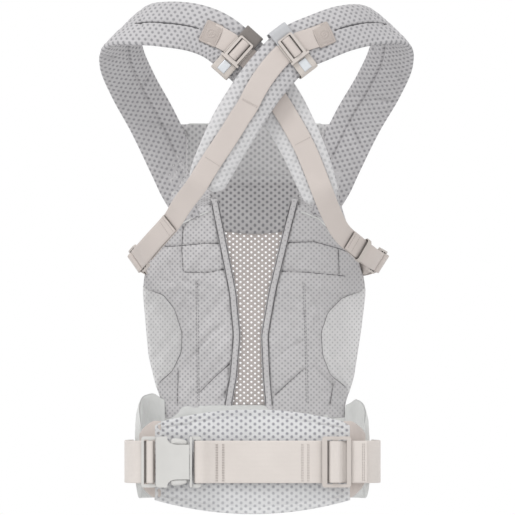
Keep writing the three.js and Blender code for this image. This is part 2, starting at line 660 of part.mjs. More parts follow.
function makeTail(panelSide) {
  const side = ACROSS[panelSide];
  const base = adjusterFrame(side);
  const place = (a, b) => base.p.clone().addScaledVector(base.t, a).addScaledVector(base.n, b);
  const turn = arcPoints(BAR_MIDDLE[1] - 1, 0, ADJUSTER_LIFT, -Math.PI / 2, Math.PI / 2, 6);
  const frames = bendFrames([[-9, -ADJUSTER_LIFT], [-3, -ADJUSTER_LIFT], ...turn, [-3, ADJUSTER_LIFT]],
    place, base.w);
  const route = WEBBING_ROUTES[side];
  const steps = 12;
  const startU = 0.965;
  for (let i = 0; i <= steps; i++) {
    const s = i / steps;
    const frame = route.at(THREE.MathUtils.lerp(startU, TAIL_END_U[side], s));
    const lifted = shifted(frame, 0, THREE.MathUtils.lerp(2 * ADJUSTER_LIFT, TAIL_END_LIFT, s));
    frames.push(frameAt(lifted.p, frame.t.clone().negate(), frame.n.clone().negate()));
  }
  addPiece(`webbing_tail_${panelSide}`, 'webbing', webbingAlong(frames, STRAP_WEBBING - 1));
}

function makeAnchor(panelSide) {
  const base = adjusterFrame(ACROSS[panelSide]);
  const place = (a, b) => base.p.clone().addScaledVector(base.t, a).addScaledVector(base.n, b);
  const middle = (BAR_END[0] + BAR_END[1]) / 2;
  const radius = 4.2;
  const turn = arcPoints(middle, 0, radius, Math.PI / 2, 1.5 * Math.PI, 6);
  const points = [[37, -9.5], [31, -2.6], [24.5, 2.4], ...turn, [22, -3.8], [28.5, -6.3], [36, -11.6]];
  addPiece(`adjuster_anchor_${panelSide}`, 'webbing',
    webbingAlong(bendFrames(points, place, base.w), STRAP_WEBBING - 1));
}

function makeKeeper() {
  const frame = WEBBING_ROUTES.left.at(0.9);
  const outside = extrude(roundedOutline(-15, 15, 1.5, 9.2, 1.5), 8, 2).translate(0, 0, -4);
  const geometry = slotted(outside, box(-13.6, 13.6, 2.6, 8.2, -5, 5)).rotateX(Math.PI / 2);
  addPiece('tail_keeper_right', 'elastic', placeAt(geometry, frame));
}

// ---- label tabs and strap sliders ----
const LABEL_U = { left: 0.578, right: 0.557 };
const LABEL_GAP = 0.8;           // a flat tab over webbing that bends
const SLIDER_U = { left: 0.664, right: 0.645 };
const SLIDER_ACROSS = 4;         // a slider sits this far from the strap's middle, away from the arm

function makeLabel(side) {
  const frame = shifted(STRAPS[side].at(LABEL_U[side]), 0, ON_STRAP + WEBBING / 2 + LABEL_GAP);
  const label = extrude(roundedOutline(-14, 14, -12, 12, 1.5), 1.2, 2);
  addPiece(`label_tab_${side}`, 'label', placeAt(label, frame));
}

// A two-slot frame with a cross bar at the end that faces the arm.
const SLIDER_OUTLINE = [
  [-13.5, -10], [15, -10], [15, -13], [17.6, -13], [17.6, 13], [15, 13], [15, 10], [-13.5, 10], [-15, 8.5], [-15, -8.5],
];

function makeSlider(side) {
  const frame = STRAPS[side].at(SLIDER_U[side]);
  const armSide = side === 'right' ? -1 : 1;
  const plateShape = new THREE.Shape(SLIDER_OUTLINE.map(([x, y]) => new THREE.Vector2(armSide * x, y)));
  const slotHalf = STRAP_WEBBING / 2 + 0.4;
  const slot = (from, to) => box(-slotHalf, slotHalf, from, to, -1, 5);
  const frameSolid = slotted(extrude(plateShape, 3.2, 3), slot(-7, -2), slot(2, 7));
  const sliderSolid = frameSolid.translate(-armSide * SLIDER_ACROSS, 0, SLIDER_LIFT);
  addPiece(`strap_slider_${side}`, 'plastic', placeAt(sliderSolid, frame));
  const inside = PAD_HALF + 3;
  const under = -PAD_THICK / 2 - 3;
  const above = SLIDER_LIFT - 1.5;
  const wall = 1.1;
  const ring = roundedOutline(-inside - wall, inside + wall, under - wall, above + wall, 3);
  const bandLength = 18;
  const outside = extrude(ring, bandLength, 2).translate(0, 0, -bandLength / 2);
  const band = slotted(outside, box(-inside, inside, under, above, -bandLength, bandLength)).rotateX(Math.PI / 2);
  addPiece(`slider_band_${side}`, 'elastic', placeAt(band, frame));
  const strip = box(-7.2, 7.2, -5, 5, 0, 0.8).translate(armSide * 22.2, 0, above + wall + 0.3);
  addPiece(`reflective_strip_${side}`, 'reflective', placeAt(strip, frame));
}

// ---- assembly ----
for (const side of ['left', 'right']) {
  makePanelHalf(side);
  makeLegPad(side);
  makeBinding(side);
  makeUpperPanel(side);
  makeWing(side);
  makeSideTab(side);
  makeStrap(side);
  makeShoulderWebbing(side);
  makeAdjuster(side);
  makeTail(side);
  makeAnchor(side);
  makeLabel(side);
  makeSlider(side);
}
makeWindow();
makeNeckSupport();
makeHeadFlap();
makeFrontWaistband();
makeLumbarPad();
makeBeltLeft();
makeBeltFront();
makeTriGlide();
makeBeltTail();
makeSocket();
makePlug();
makeProng('buckle_prong_upper', 1);
makeProng('buckle_prong_lower', -1);
makeKeeper();

export default carrier;
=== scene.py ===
"""Soft baby carrier, as worn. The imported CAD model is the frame, and every soft piece is built round it."""
import math

import bpy
import numpy as np
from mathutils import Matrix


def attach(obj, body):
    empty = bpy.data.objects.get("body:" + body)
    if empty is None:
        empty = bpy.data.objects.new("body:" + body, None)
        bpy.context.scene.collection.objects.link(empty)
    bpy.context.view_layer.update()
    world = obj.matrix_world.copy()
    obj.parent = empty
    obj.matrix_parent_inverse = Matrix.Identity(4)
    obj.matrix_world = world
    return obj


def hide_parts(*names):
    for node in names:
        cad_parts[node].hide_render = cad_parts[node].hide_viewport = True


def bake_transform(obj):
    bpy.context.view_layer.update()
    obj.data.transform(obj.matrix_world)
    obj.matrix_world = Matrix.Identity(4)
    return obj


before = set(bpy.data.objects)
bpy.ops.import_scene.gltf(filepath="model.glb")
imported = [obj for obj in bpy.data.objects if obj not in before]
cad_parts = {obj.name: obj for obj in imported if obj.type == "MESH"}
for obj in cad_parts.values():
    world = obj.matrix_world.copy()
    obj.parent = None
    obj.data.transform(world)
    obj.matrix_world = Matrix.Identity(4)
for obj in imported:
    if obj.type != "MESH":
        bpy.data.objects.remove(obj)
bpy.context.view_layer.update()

MM = 0.001

# ---- camera, lights, floor ----
CAMERA_DISTANCE = 20.0
VIEW_HEIGHT = 0.608          # height of the picture at the object
AIM = (0.003, 0.2402)         # x and z of the picture's centre
SENSOR = 36.0
MIDDLE = (0, 0, 0.25)         # what the lights look at
FLOOR_Z, FLOOR_SIZE = -0.5, 8.0


def area_light(name, place, size, power):
    """A round light that looks at the middle of the carrier."""
    data = bpy.data.lights.new(name, "AREA")
    data.shape, data.size, data.energy = "DISK", size, power
    light = bpy.data.objects.new(name, data)
    bpy.context.scene.collection.objects.link(light)
    light.location = place
    x, y, z = np.array(MIDDLE) - np.array(place)
    light.rotation_euler = (math.atan2(math.hypot(x, y), -z), 0, math.atan2(x, -y) + math.pi)


def make_studio():
    """Camera, white sky, three lights and the floor."""
    scene = bpy.context.scene
    scene.view_settings.view_transform = "Standard"
    data = bpy.data.cameras.new("camera")
    data.lens = SENSOR * CAMERA_DISTANCE / VIEW_HEIGHT
    data.sensor_width = SENSOR
    camera = bpy.data.objects.new("camera", data)
    scene.collection.objects.link(camera)
    camera.location = (AIM[0], -CAMERA_DISTANCE, AIM[1])
    camera.rotation_euler = (math.pi / 2, 0, 0)
    scene.camera = camera
    world = bpy.data.worlds.new("studio")
    scene.world = world
    world.use_nodes = True
    sky = world.node_tree
    background = sky.nodes["Background"].inputs
    background["Color"].default_value = (1, 1, 1, 1)
    direction = sky.nodes.new("ShaderNodeSeparateXYZ")
    sky.links.new(sky.nodes.new("ShaderNodeTexCoord").outputs["Generated"], direction.inputs[0])
    product = sky.nodes.new("ShaderNodeMath")
    product.operation = "MULTIPLY"
    # The sky is darker below and above the level, so that edges show.
    for k, (low, high, dark) in enumerate(((-0.16, -0.5, 0.30), (0.16, 0.6, 0.70))):
        band = sky.nodes.new("ShaderNodeMapRange")
        band.interpolation_type = "SMOOTHSTEP"
        for key, value in (("From Min", low), ("From Max", high), ("To Min", 1.0), ("To Max", dark)):
            band.inputs[key].default_value = value
        sky.links.new(direction.outputs[2], band.inputs["Value"])
        sky.links.new(band.outputs["Result"], product.inputs[k])
    sky.links.new(product.outputs[0], background["Strength"])
    area_light("key", (-1.3, -1.6, 2.4), 0.9, 26)
    area_light("fill", (1.8, -1.6, 0.8), 1.6, 3)
    area_light("back", (0.6, 2.2, 1.6), 1.2, 10)
    bpy.ops.mesh.primitive_plane_add(size=FLOOR_SIZE, location=(0, 0, FLOOR_Z))
    floor = bpy.context.object
    floor.name = "floor"
    floor.data.materials.append(plain_material("floor_paint", (0.8, 0.8, 0.8)))


# ---- materials ----
class Graph:
    """A material's node tree, built from sockets and numbers."""

    def __init__(self, name):
        self.material = bpy.data.materials.new(name)
        self.material.use_nodes = True
        self.tree = self.material.node_tree
        self.shader = self.tree.nodes["Principled BSDF"]

    def put(self, socket, value):
        if isinstance(value, bpy.types.NodeSocket):
            self.tree.links.new(value, socket)
        else:
            socket.default_value = value

    def node(self, kind, inputs, **settings):
        """The outputs of a new node with these inputs, by index or name."""
        node = self.tree.nodes.new(kind)
        for key, value in settings.items():
            setattr(node, key, value)
        for key, value in inputs.items():
            self.put(node.inputs[key], value)
        return node.outputs

    def math(self, operation, a, b=0.0):
        return self.node("ShaderNodeMath", {0: a, 1: b}, operation=operation)[0]

    def ramp(self, value, low, high, out_low=0.0, out_high=1.0):
        inputs = {"Value": value, "From Min": low, "From Max": high, "To Min": out_low, "To Max": out_high}
        return self.node("ShaderNodeMapRange", inputs, interpolation_type="SMOOTHSTEP")["Result"]

    def mix(self, factor, a, b, blend="MIX"):
        return self.node("ShaderNodeMix", {0: factor, 6: a, 7: b}, data_type="RGBA", blend_type=blend)[2]

    def uv(self):
        coords = self.node("ShaderNodeUVMap", {}, uv_map="cloth")[0]
        split = self.node("ShaderNodeSeparateXYZ", {0: coords})
        return split[0], split[1]

    def noise(self, scale, detail):
        place = self.node("ShaderNodeTexCoord", {})["Object"]
        return self.node("ShaderNodeTexNoise", {"Vector": place, "Scale": scale, "Detail": detail})[0]

    def wave(self, value, period):
        """A sine along the cloth, with its period in millimetres."""
        return self.math("SINE", self.math("MULTIPLY", value, 2 * math.pi / (period * MM)))

    def mottled(self, base, dark, light, scale, detail=3.0, edge=0.25):
        """A slow uneven tone, and the base colour between dark and light by that tone."""
        tone = self.ramp(self.noise(scale, detail), edge, 1 - edge)
        return tone, self.mix(tone, shade(base, dark), shade(base, light))

    def bump(self, height, distance, strength):
        """Relief, with its distance in millimetres."""
        inputs = {"Distance": distance * MM, "Strength": strength, "Height": height}
        self.put(self.shader.inputs["Normal"], self.node("ShaderNodeBump", inputs)[0])

    def finish(self, colour, roughness, sheen=0.0, dark=0.45, reach=7.0):
        """Sets the shader. Folds, seams and slots get painted shade: the base colour goes darker where
        ambient occlusion finds other surfaces near.
        """
        # Painted shade: the base colour is mixed towards itself times dark where ambient occlusion is low.
        crevice_shade = self.node("ShaderNodeAmbientOcclusion", {"Distance": reach * MM}, samples=6)["AO"]
        shadow = self.mix(1.0, colour, (dark, dark, dark, 1), "MULTIPLY")
        values = {"Base Color": self.mix(self.ramp(crevice_shade, 0.15, 0.85), shadow, colour),
                  "Roughness": roughness, "Sheen Weight": sheen, "Sheen Roughness": 0.5}
        for key, value in values.items():
            self.put(self.shader.inputs[key], value)
        return self.material


def linear(red, green, blue):
    """A colour given in sRGB 0..255, as linear light."""
    def one(value):
        value = value / 255
        return value / 12.92 if value <= 0.04045 else ((value + 0.055) / 1.055) ** 2.4
    return (one(red), one(green), one(blue), 1.0)


def shade(colour, factor):
    """A colour made darker or lighter."""
    return (colour[0] * factor, colour[1] * factor, colour[2] * factor, 1.0)


def plain_material(name, colour):
    """One matt colour."""
    graph = Graph(name)
    return graph.finish(graph.mottled(colour, 0.99, 1.01, 3.0, 2.0, 0.3)[1], 0.8)


def dot_mask(graph, x, y, cell, radius):
    """1 in the middle of each dot of a staggered lattice, 0 between the dots."""
    distances = []
    for offset in (0.5, 0.0):
        parts = []
        for value, size in ((x, cell[0]), (y, cell[1])):
            step = graph.math("ADD", graph.math("DIVIDE", value, size * MM), offset)
            centred = graph.math("SUBTRACT", graph.math("FRACT", step), 0.5)
            parts.append(graph.math("POWER", graph.math("MULTIPLY", centred, size), 2.0))
        distances.append(graph.math("SQRT", graph.math("ADD", parts[0], parts[1])))
    nearest = graph.math("MINIMUM", distances[0], distances[1])
    return graph.ramp(nearest, radius * 0.45, radius * 1.25, 1.0, 0.0)


def air_mesh(name, base, dot, cell, radius, painted_light_ramp=None):
    """Spacer mesh with dots. The last argument, if given, is (axis, from, to, share, grey): painted light and
    shade, a slow change of tone along the cloth towards grey, where the cloth is lit more or less.
    """
    graph = Graph(name)
    x, y = graph.uv()
    mask = dot_mask(graph, x, y, cell, radius)
    ribs = graph.math("MULTIPLY", graph.wave(x, 0.9), graph.wave(y, 1.1))
    fabric = graph.mottled(base, 0.92, 1.05, 14.0)[1]
    fibre = graph.ramp(graph.noise(1500.0, 1.0), 0.2, 0.8)
    fabric = graph.mix(fibre, fabric, graph.mix(0.12, fabric, (1, 1, 1, 1)))
    colour = graph.mix(mask, fabric, dot)
    # Painted light and shade: along one axis of the cloth the colour moves part way to a grey.
    if painted_light_ramp is not None:
        axis, low, high, share, grey = painted_light_ramp
        painted_light_amount = graph.ramp((x, y)[axis], low, high, 0.0, share)
        colour = graph.mix(painted_light_amount, colour, (grey, grey, grey, 1))
    graph.bump(graph.math("SUBTRACT", graph.math("MULTIPLY", ribs, 0.12), mask), 0.5, 0.7)
    return graph.finish(colour, graph.ramp(mask, 0.0, 1.0, 0.85, 0.95), 0.25)


def webbing_cloth(name, base, pitch=1.25):
    """Webbing with cross ribs, and slanted ribs that meet in its middle."""
    graph = Graph(name)
    x, y = graph.uv()
    slant = graph.math("ADD", x, graph.math("ABSOLUTE", y))
    weave = graph.math("ADD", graph.math("MULTIPLY", graph.wave(y, pitch), 0.6),
                       graph.math("MULTIPLY", graph.wave(slant, 1.6), 0.4))
    colour = graph.mottled(base, 0.96, 1.03, 20.0)[1]
    colour = graph.mix(graph.ramp(weave, -1.0, 0.4), shade(base, 0.9), colour)
    graph.bump(weave, 0.18, 0.6)
    return graph.finish(colour, graph.ramp(weave, -1.0, 1.0, 0.75, 0.6), 0.15)


def woven_cloth(name, base, scale, sheen=0.2):
    """Plain weave, with threads scale millimetres apart."""
    graph = Graph(name)
    x, y = graph.uv()
    graph.bump(graph.math("MULTIPLY", graph.wave(x, scale), graph.wave(y, scale)), 0.1, 0.5)
    tone, colour = graph.mottled(base, 0.95, 1.03, 16.0)
    return graph.finish(colour, graph.ramp(tone, 0.0, 1.0, 0.72, 0.82), sheen)


def moulded_plastic(name, base):
    """Plastic with a fine grain."""
    graph = Graph(name)
    grain = graph.noise(1800.0, 2.0)
    graph.bump(grain, 0.05, 0.25)
    graph.shader.inputs["Specular IOR Level"].default_value = 0.45
    colour = graph.mottled(base, 0.97, 1.02, 30.0, 2.0, 0.3)[1]
    # Its painted shade in slots and corners is lighter, and reaches less far.
    return graph.finish(colour, graph.ramp(grain, 0.3, 0.7, 0.36, 0.46), dark=0.3, reach=5.0)


def thread_cloth(name, base):
    """Sewing thread."""
    graph = Graph(name)
    tone, colour = graph.mottled(base, 0.88, 1.0, 400.0, 1.0, 0.3)
    return graph.finish(colour, graph.ramp(tone, 0.0, 1.0, 0.5, 0.62), 0.1)


def reflective_tape(name, base):
    """Silver tape with fine beads."""
    graph = Graph(name)
    x, y = graph.uv()
    beads = graph.math("MULTIPLY", graph.wave(x, 0.8), graph.wave(y, 0.8))
    graph.bump(beads, 0.05, 0.3)
    graph.shader.inputs["Metallic"].default_value = 0.35
    tone = graph.ramp(beads, -1.0, 1.0)
    return graph.finish(graph.mix(tone, shade(base, 0.92), base), graph.ramp(tone, 0.0, 1.0, 0.3, 0.42))


# Cells of the dots' lattice, and the radius of the dimples, in millimetres.
STRAP_CELL = (7.5, 9.2)
PANEL_CELL = (7.2, 6.2)
NECK_CELL = (9.6, 7.2)
LUMBAR_CELL = (10.8, 7.4)
DOT = {STRAP_CELL: 1.8, PANEL_CELL: 1.35, NECK_CELL: 1.95, LUMBAR_CELL: 1.95}


def make_materials():
    """Every finish by its short name. A tone is set in sRGB."""
    return {
        # The strap's lower, near part is painted lighter: painted light.
        "strap": air_mesh("strap_air_mesh", linear(194, 192, 194), linear(152, 151, 154), STRAP_CELL, 1.85,
                          painted_light_ramp=(0, 0.42, 0.56, 0.42, 0.88)),
        # The right half of the panel is painted darker: painted shade.
        "panel": air_mesh("panel_air_mesh", linear(209, 207, 208), linear(176, 174, 177), PANEL_CELL, 1.35,
                          painted_light_ramp=(0, -0.03, 0.03, 0.14, 0.28)),
        "pad": air_mesh("pad_air_mesh", linear(222, 221, 221), linear(192, 191, 192), PANEL_CELL, 1.25),
        # The lumbar pad is painted lighter towards its bottom: painted light.
        "lumbar": air_mesh("lumbar_air_mesh", linear(221, 221, 222), linear(160, 160, 166), LUMBAR_CELL, 1.95,
                           painted_light_ramp=(1, -0.018, -0.040, 0.3, 0.86)),
        # The neck piece's tones are set darker than the panel's as painted shade, and its upper part is
        # painted lighter again: painted light.
        "neck": air_mesh("shaded_neck_air_mesh", linear(182, 180, 181), linear(130, 129, 132), NECK_CELL, 1.95,
                         painted_light_ramp=(1, 0.326, 0.338, 0.25, 0.8)),
        "binding": air_mesh("binding_air_mesh", linear(204, 202, 203), linear(182, 180, 182),
                            PANEL_CELL, 1.1),
        "window": woven_cloth("window_knit", linear(192, 184, 181), 0.8),
        "lining": woven_cloth("smooth_lining", linear(222, 223, 221), 0.6),
        "webbing": webbing_cloth("taupe_webbing", linear(216, 206, 200)),
        "belt": webbing_cloth("belt_webbing", linear(232, 224, 218), 1.5),
        "elastic": webbing_cloth("ribbed_elastic", linear(213, 205, 198), 1.0),
        "dark_elastic": webbing_cloth("dark_ribbed_elastic", linear(136, 130, 126), 1.0),
        "grey_elastic": webbing_cloth("grey_ribbed_elastic", linear(198, 199, 202), 1.0),
        "plastic": moulded_plastic("moulded_acetal", linear(217, 216, 213)),
        "taupe_plastic": moulded_plastic("taupe_acetal", linear(210, 202, 196)),
        # The stitch thread is darker than the cloth: partly its own colour, partly painted shade in the
        # seams.
        "thread": thread_cloth("seam_thread", linear(140, 139, 142)),
        # The dark thread of the cords in the seams is painted shade.
        "seam_shade_thread": thread_cloth("seam_shade_thread", linear(104, 103, 106)),
        "taupe_thread": thread_cloth("taupe_thread", linear(192, 182, 176)),
        "reflective": reflective_tape("silver_tape", linear(226, 230, 234)),
        "label": woven_cloth("label_rubber", linear(193, 183, 177), 0.5, 0.0),
        "foam": plain_material("foam", linear(230, 228, 220)),
    }


# ---- curves ----
def spline(points, u):
    """Centripetal Catmull-Rom through points, at each u from 0 to 1."""
    points = np.asarray(points, float)
    ends = (2 * points[0] - points[1], 2 * points[-1] - points[-2])
    padded = np.vstack([ends[0], points, ends[1]])
    place = np.clip(u, 0, 1) * (len(points) - 1)
    index = np.minimum(place.astype(int), len(points) - 2)
    w = (place - index)[:, None]
    a, b, c, d = (padded[index + k] for k in range(4))

    def knot(p, q):
        return np.sqrt(np.linalg.norm(q - p, axis=1))[:, None]

    t1 = knot(b, c)
    t1 = np.where(t1 < 1e-4, 1.0, t1)
    t0 = knot(a, b)
    t0 = np.where(t0 < 1e-4, t1, t0)
    t2 = knot(c, d)
    t2 = np.where(t2 < 1e-4, t1, t2)
    m1 = ((b - a) / t0 - (c - a) / (t0 + t1) + (c - b) / t1) * t1
    m2 = ((c - b) / t1 - (d - b) / (t1 + t2) + (d - c) / t2) * t1
    return b + m1 * w + (3 * (c - b) - 2 * m1 - m2) * w ** 2 + (2 * (b - c) + m1 + m2) * w ** 3


def unit(vectors):
    """Vectors of length 1."""
    return vectors / np.maximum(np.linalg.norm(vectors, axis=-1, keepdims=True), 1e-12)


def smooth(value, low, high):
    """0 at low and 1 at high, with soft ends."""
    t = np.clip((value - low) / (high - low), 0, 1)
    return t * t * (3 - 2 * t)


class Band:
    """Frames along a ribbon, evenly spaced: place p, tangent t, outward n, width direction w, distance s."""

    def __init__(self, p, n, u):
        self.p, self.u = p, u
        self.t = unit(np.gradient(p, axis=0))
        self.n = unit(self.square(n))
        self.w = np.cross(self.t, self.n)
        self.s = lengths(p)

    def square(self, vectors):
        """The part of some vectors that is square to the tangent."""
        return vectors - np.sum(vectors * self.t, axis=1, keepdims=True) * self.t

    def turn_to(self, guide):
        """Turns the width direction towards guide."""
        self.w = unit(self.square(guide))
        self.n = np.cross(self.w, self.t)


def lengths(points):
    """Distance along a polyline, at each of its points."""
    return np.concatenate([[0], np.cumsum(np.linalg.norm(np.diff(points, axis=0), axis=1))])


def resampled(values, steps, at):
    """Values that are known at steps, at other distances."""
    return np.column_stack([np.interp(at, steps, column) for column in np.asarray(values, float).T])


def even(points, start, stop, step):
    """Values of u whose points lie about step apart."""
    dense = np.linspace(start, stop, 1500)
    length = lengths(spline(points, dense))
    count = max(2, int(round(length[-1] / step)) + 1)
    return np.interp(np.linspace(0, length[-1], count), length, dense)


def route_band(stations, stop, step):
    """A band through stations of place and outward direction."""
    stations = np.asarray(stations, float)
    u = even(stations[:, :3], 0.0, stop, step)
    return Band(spline(stations[:, :3], u), spline(stations[:, 3:], u), u)


def bent_band(points, width_direction, step):
    """A band through points, which bends in the plane across width_direction."""
    u = even(points, 0, 1, step)
    p = spline(points, u)
    return Band(p, np.cross(np.asarray(width_direction, float), unit(np.gradient(p, axis=0))), u)


# ---- meshes ----
def build_mesh(name, points, faces, uvs, material):
    """An object from points in millimetres, quads, and a uv for each corner in metres."""
    mesh = bpy.data.meshes.new(name)
    mesh.vertices.add(len(points))
    mesh.vertices.foreach_set("co", (np.asarray(points) * MM).astype(np.float32).ravel())
    sizes = faces.shape[1]
    mesh.loops.add(faces.size)
    mesh.loops.foreach_set("vertex_index", faces.astype(np.int32).ravel())
    mesh.polygons.add(len(faces))
    mesh.polygons.foreach_set("loop_start", np.arange(0, faces.size, sizes, dtype=np.int32))
    mesh.polygons.foreach_set("use_smooth", np.ones(len(faces), bool))
    layer = mesh.uv_layers.new(name="cloth")
    layer.data.foreach_set("uv", (uvs[faces.ravel()] * MM).astype(np.float32).ravel())
    mesh.validate()
    mesh.update(calc_edges=True)
    mesh.materials.append(material)
    obj = bpy.data.objects.new(name, mesh)
    bpy.context.scene.collection.objects.link(obj)
    return obj


def read_points(items, key):
    """The vectors of a mesh's vertices or faces, in millimetres."""
    values = np.zeros(len(items) * 3)
    items.foreach_get(key, values)
    return values.reshape(-1, 3) / MM


def move_points(obj, change):
    """Lets change() edit a mesh's points, an array in millimetres."""
    points = read_points(obj.data.vertices, "co")
    change(points)
    obj.data.vertices.foreach_set("co", (points * MM).astype(np.float32).ravel())
    obj.data.update()


def grid_faces(rows, cols, base, flip):
    """Quads of a grid of points that starts at index base."""
    index = base + np.arange(rows * cols).reshape(rows, cols)
    quads = np.stack([index[:-1, :-1], index[:-1, 1:], index[1:, 1:], index[1:, :-1]], axis=-1).reshape(-1, 4)
    return quads[:, ::-1] if flip else quads


def slab(name, outer, inner, uv, material):
    """A closed soft sheet between two grids of points (rows, cols, 3), with uv (rows, cols, 2)."""
    rows, cols = outer.shape[:2]
    size = rows * cols
    across = np.cross(outer[1, 0] - outer[0, 0], outer[0, -1] - outer[0, 0])
    gap = sum(outer[k] - inner[k] for k in ((0, 0), (-1, -1), (rows // 2, cols // 2)))
    flip = np.dot(across, gap) > 0
    first = np.arange(size).reshape(rows, cols)
    ring = np.concatenate([first[0, :], first[1:, -1], first[-1, -2::-1], first[-2::-1, 0]])
    rim = np.stack([ring[:-1], ring[1:], ring[1:] + size, ring[:-1] + size], axis=1)
    faces = np.vstack([grid_faces(rows, cols, 0, flip), grid_faces(rows, cols, size, not flip),
                       rim if flip else rim[:, ::-1]])[:, ::-1]
    points = np.vstack([outer.reshape(-1, 3), inner.reshape(-1, 3)])
    return build_mesh(name, points, faces, np.tile(uv.reshape(-1, 2), (2, 1)), material)


def dots(x, y, cell):
    """1 in the middle of each dot of the same staggered lattice that the air mesh's material has."""
    def distance(offset):
        place = [(np.mod(value / size + offset, 1.0) - 0.5) * size for value, size in zip((x, y), cell)]
        return np.hypot(*place)
    return 1 - smooth(np.minimum(distance(0.5), distance(0.0)), DOT[cell] * 0.3, DOT[cell] * 1.4)


def ripple(x, y, seed=0.0):
    """Soft uneven folds, from about -1 to 1."""
    waves = ((0.021, 0.013, 0.3), (-0.034, 0.027, 1.7), (0.052, -0.041, 4.1),
             (0.018, 0.061, 2.2), (0.083, 0.035, 5.3))
    return sum(np.sin(2 * math.pi * (kx * x + ky * y) + phase + seed) for kx, ky, phase in waves) / 3.0


def distance_to(lines, x, z):
    """Distance from each (x, z) to the nearest of some polylines."""
    best = np.full(np.shape(x), 1e9)
    for line in lines:
        for (x0, z0), (x1, z1) in zip(line[:-1], line[1:]):
            dx, dz = x1 - x0, z1 - z0
            t = np.clip(((x - x0) * dx + (z - z0) * dz) / (dx * dx + dz * dz), 0, 1)
            best = np.minimum(best, np.hypot(x - x0 - t * dx, z - z0 - t * dz))
    return best


def round_edge(q):
    """Height of a stuffed section, 1 in the middle and 0 at q = -1 and 1."""
    return np.clip(1 - np.abs(q) ** 2.8, 0, 1) ** (1 / 2.2)


def cosine_spread(count, end_share=0.3):
    """-1..1, closer together at the ends, so that rounded edges are smooth."""
    even_part = np.linspace(-1, 1, count)
    return (1 - end_share) * even_part + end_share * np.sin(even_part * math.pi / 2)


def ribbon(name, band, across, out, inn, material):
    """A closed sheet along a band. across, out and inn are grids: place over its width, and two heights."""
    base = band.p[:, None, :] + band.w[:, None, :] * across[..., None]
    outer, inner = (base + band.n[:, None, :] * height[..., None] for height in (out, -inn))
    uv = np.stack([np.broadcast_to(band.s[:, None], across.shape), across], axis=-1)
    return slab(name, outer, inner, uv, material)


def band_slab(name, band, low, high, half, cols, material, relief):
    """A soft band with round edges. low, high and half are its sides and half its thickness, along it."""
    q = cosine_spread(cols, 0.35)
    low, high, half = (np.broadcast_to(value, band.s.shape)[:, None] for value in (low, high, half))
    across = low + (high - low) * (q + 1) / 2
    along = np.broadcast_to(band.s[:, None], across.shape)
    out, inn = ((half + relief(along, across, face)) * round_edge(q) for face in (1, -1))
    return ribbon(name, band, across, out, inn, material)


def stitches(name, points, normals, material, pitch=3.6, length=2.6, radius=0.32):
    """A row of thread stitches along points, each a small spindle that stands on the cloth."""
    points = np.asarray(points, float)
    steps = lengths(points)
    count = max(1, int(steps[-1] / pitch))
    centres = (np.arange(count) + 0.5) * pitch
    a, b = (resampled(points, steps, centres + shift) for shift in (-length / 2, length / 2))
    out = unit(np.asarray(normals, float))
    side = unit(np.cross(b - a, out))
    verts = [a - out * radius * 0.3]
    for end, other in ((a, b), (b, a)):
        centre = 0.55 * end + 0.45 * (end + other) / 2
        verts += [centre + offset * radius for offset in (side, out, -side, -out)]
    verts.append(b - out * radius * 0.3)
    verts = np.stack(verts, axis=1).reshape(-1, 3)
    tips, sides = [], []
    for k in range(4):
        j = (k + 1) % 4
        tips += [(0, 1 + k, 1 + j), (9, 5 + j, 5 + k)]
        sides.append((1 + k, 5 + k, 5 + j, 1 + j))
    tri = np.array(tips + [(a, b, c) for a, b, c, _ in sides] + [(a, c, d) for a, _, c, d in sides])
    faces = (np.arange(count)[:, None, None] * 10 + tri).reshape(-1, 3)
    return build_mesh(name, verts, faces, np.zeros((len(verts), 2)), material)


# ---- shapes shared with the CAD source, in millimetres ----
PANEL_MIDDLE = [(55, 88), (120, 103), (180, 108), (250, 101), (320, 92), (396, 84)]
PANEL_CUP = [(55, 36), (90, 48), (120, 58), (200, 58), (250, 40), (300, 22), (396, 8)]
SIDE_EDGE = {
    "left": [(66, -109), (90, -117), (124, -125), (202, -132), (221, -130), (295, -101), (396, -86)],
    "right": [(66, 106), (97, 116), (156, 125), (198, 130), (214, 129), (301, 102), (396, 85)],
}
LEG_SEAM = {
    "left": [(91, -116), (105, -99), (128, -88), (151, -87), (179, -96), (198, -111), (202, -131)],
    "right": [(85, 111), (101, 90), (124, 81), (151, 79), (175, 87), (194, 106), (200, 129)],
}
WINDOW_EDGE = {
    "left": [(66, -27), (100, -21), (148, -17), (200, -22), (275, -37), (310, -44)],
    "right": [(66, 12), (100, 9), (148, 7), (200, 16), (275, 34), (310, 43)],
}
SIGN = {"left": -1, "right": 1}
CUP_AT, CUP_POWER = 130, 2.2
BINDING = 9.5
WINDOW_TOP, FOLD_Z, PANEL_TOP = 275, 337, 396
PANEL_LOW, PANEL_HIGH, BINDING_LOW, BINDING_HIGH, UPPER_LOW, UPPER_HIGH = 50, 303, 58, 311, 270, 398
PANEL_THICK, BINDING_THICK, LEG_PAD_THICK, UPPER_THICK = 8.4, 9.4, 17, 9
FLAP_HALF, NECK_HALF = 81, 53
PAD_HALF, PAD_THICK = 28.5, 13     # shoulder strap: half its width, and its thickness
WEBBING, STRAP_WEBBING, BELT_WIDTH = 1.4, 25, 50
ADJUSTER_LIFT, SLIDER_LIFT = 3.2, 10.8
ON_STRAP = PAD_THICK / 2 + 0.4 + WEBBING / 2 + 0.5
BUCKLE_Y = -98


def through(pairs, key):
    """Straight lines through (key, value) pairs."""
    keys, values = zip(*pairs)
    return np.interp(key, keys, values)


def softened(pairs, key, reach=7.0):
    """through(), rounded off at its corners."""
    return sum(through(pairs, np.asarray(key) + k * reach) * w
               for k, w in ((-1, 0.25), (-0.5, 0.2), (0, 0.1), (0.5, 0.2), (1, 0.25)))


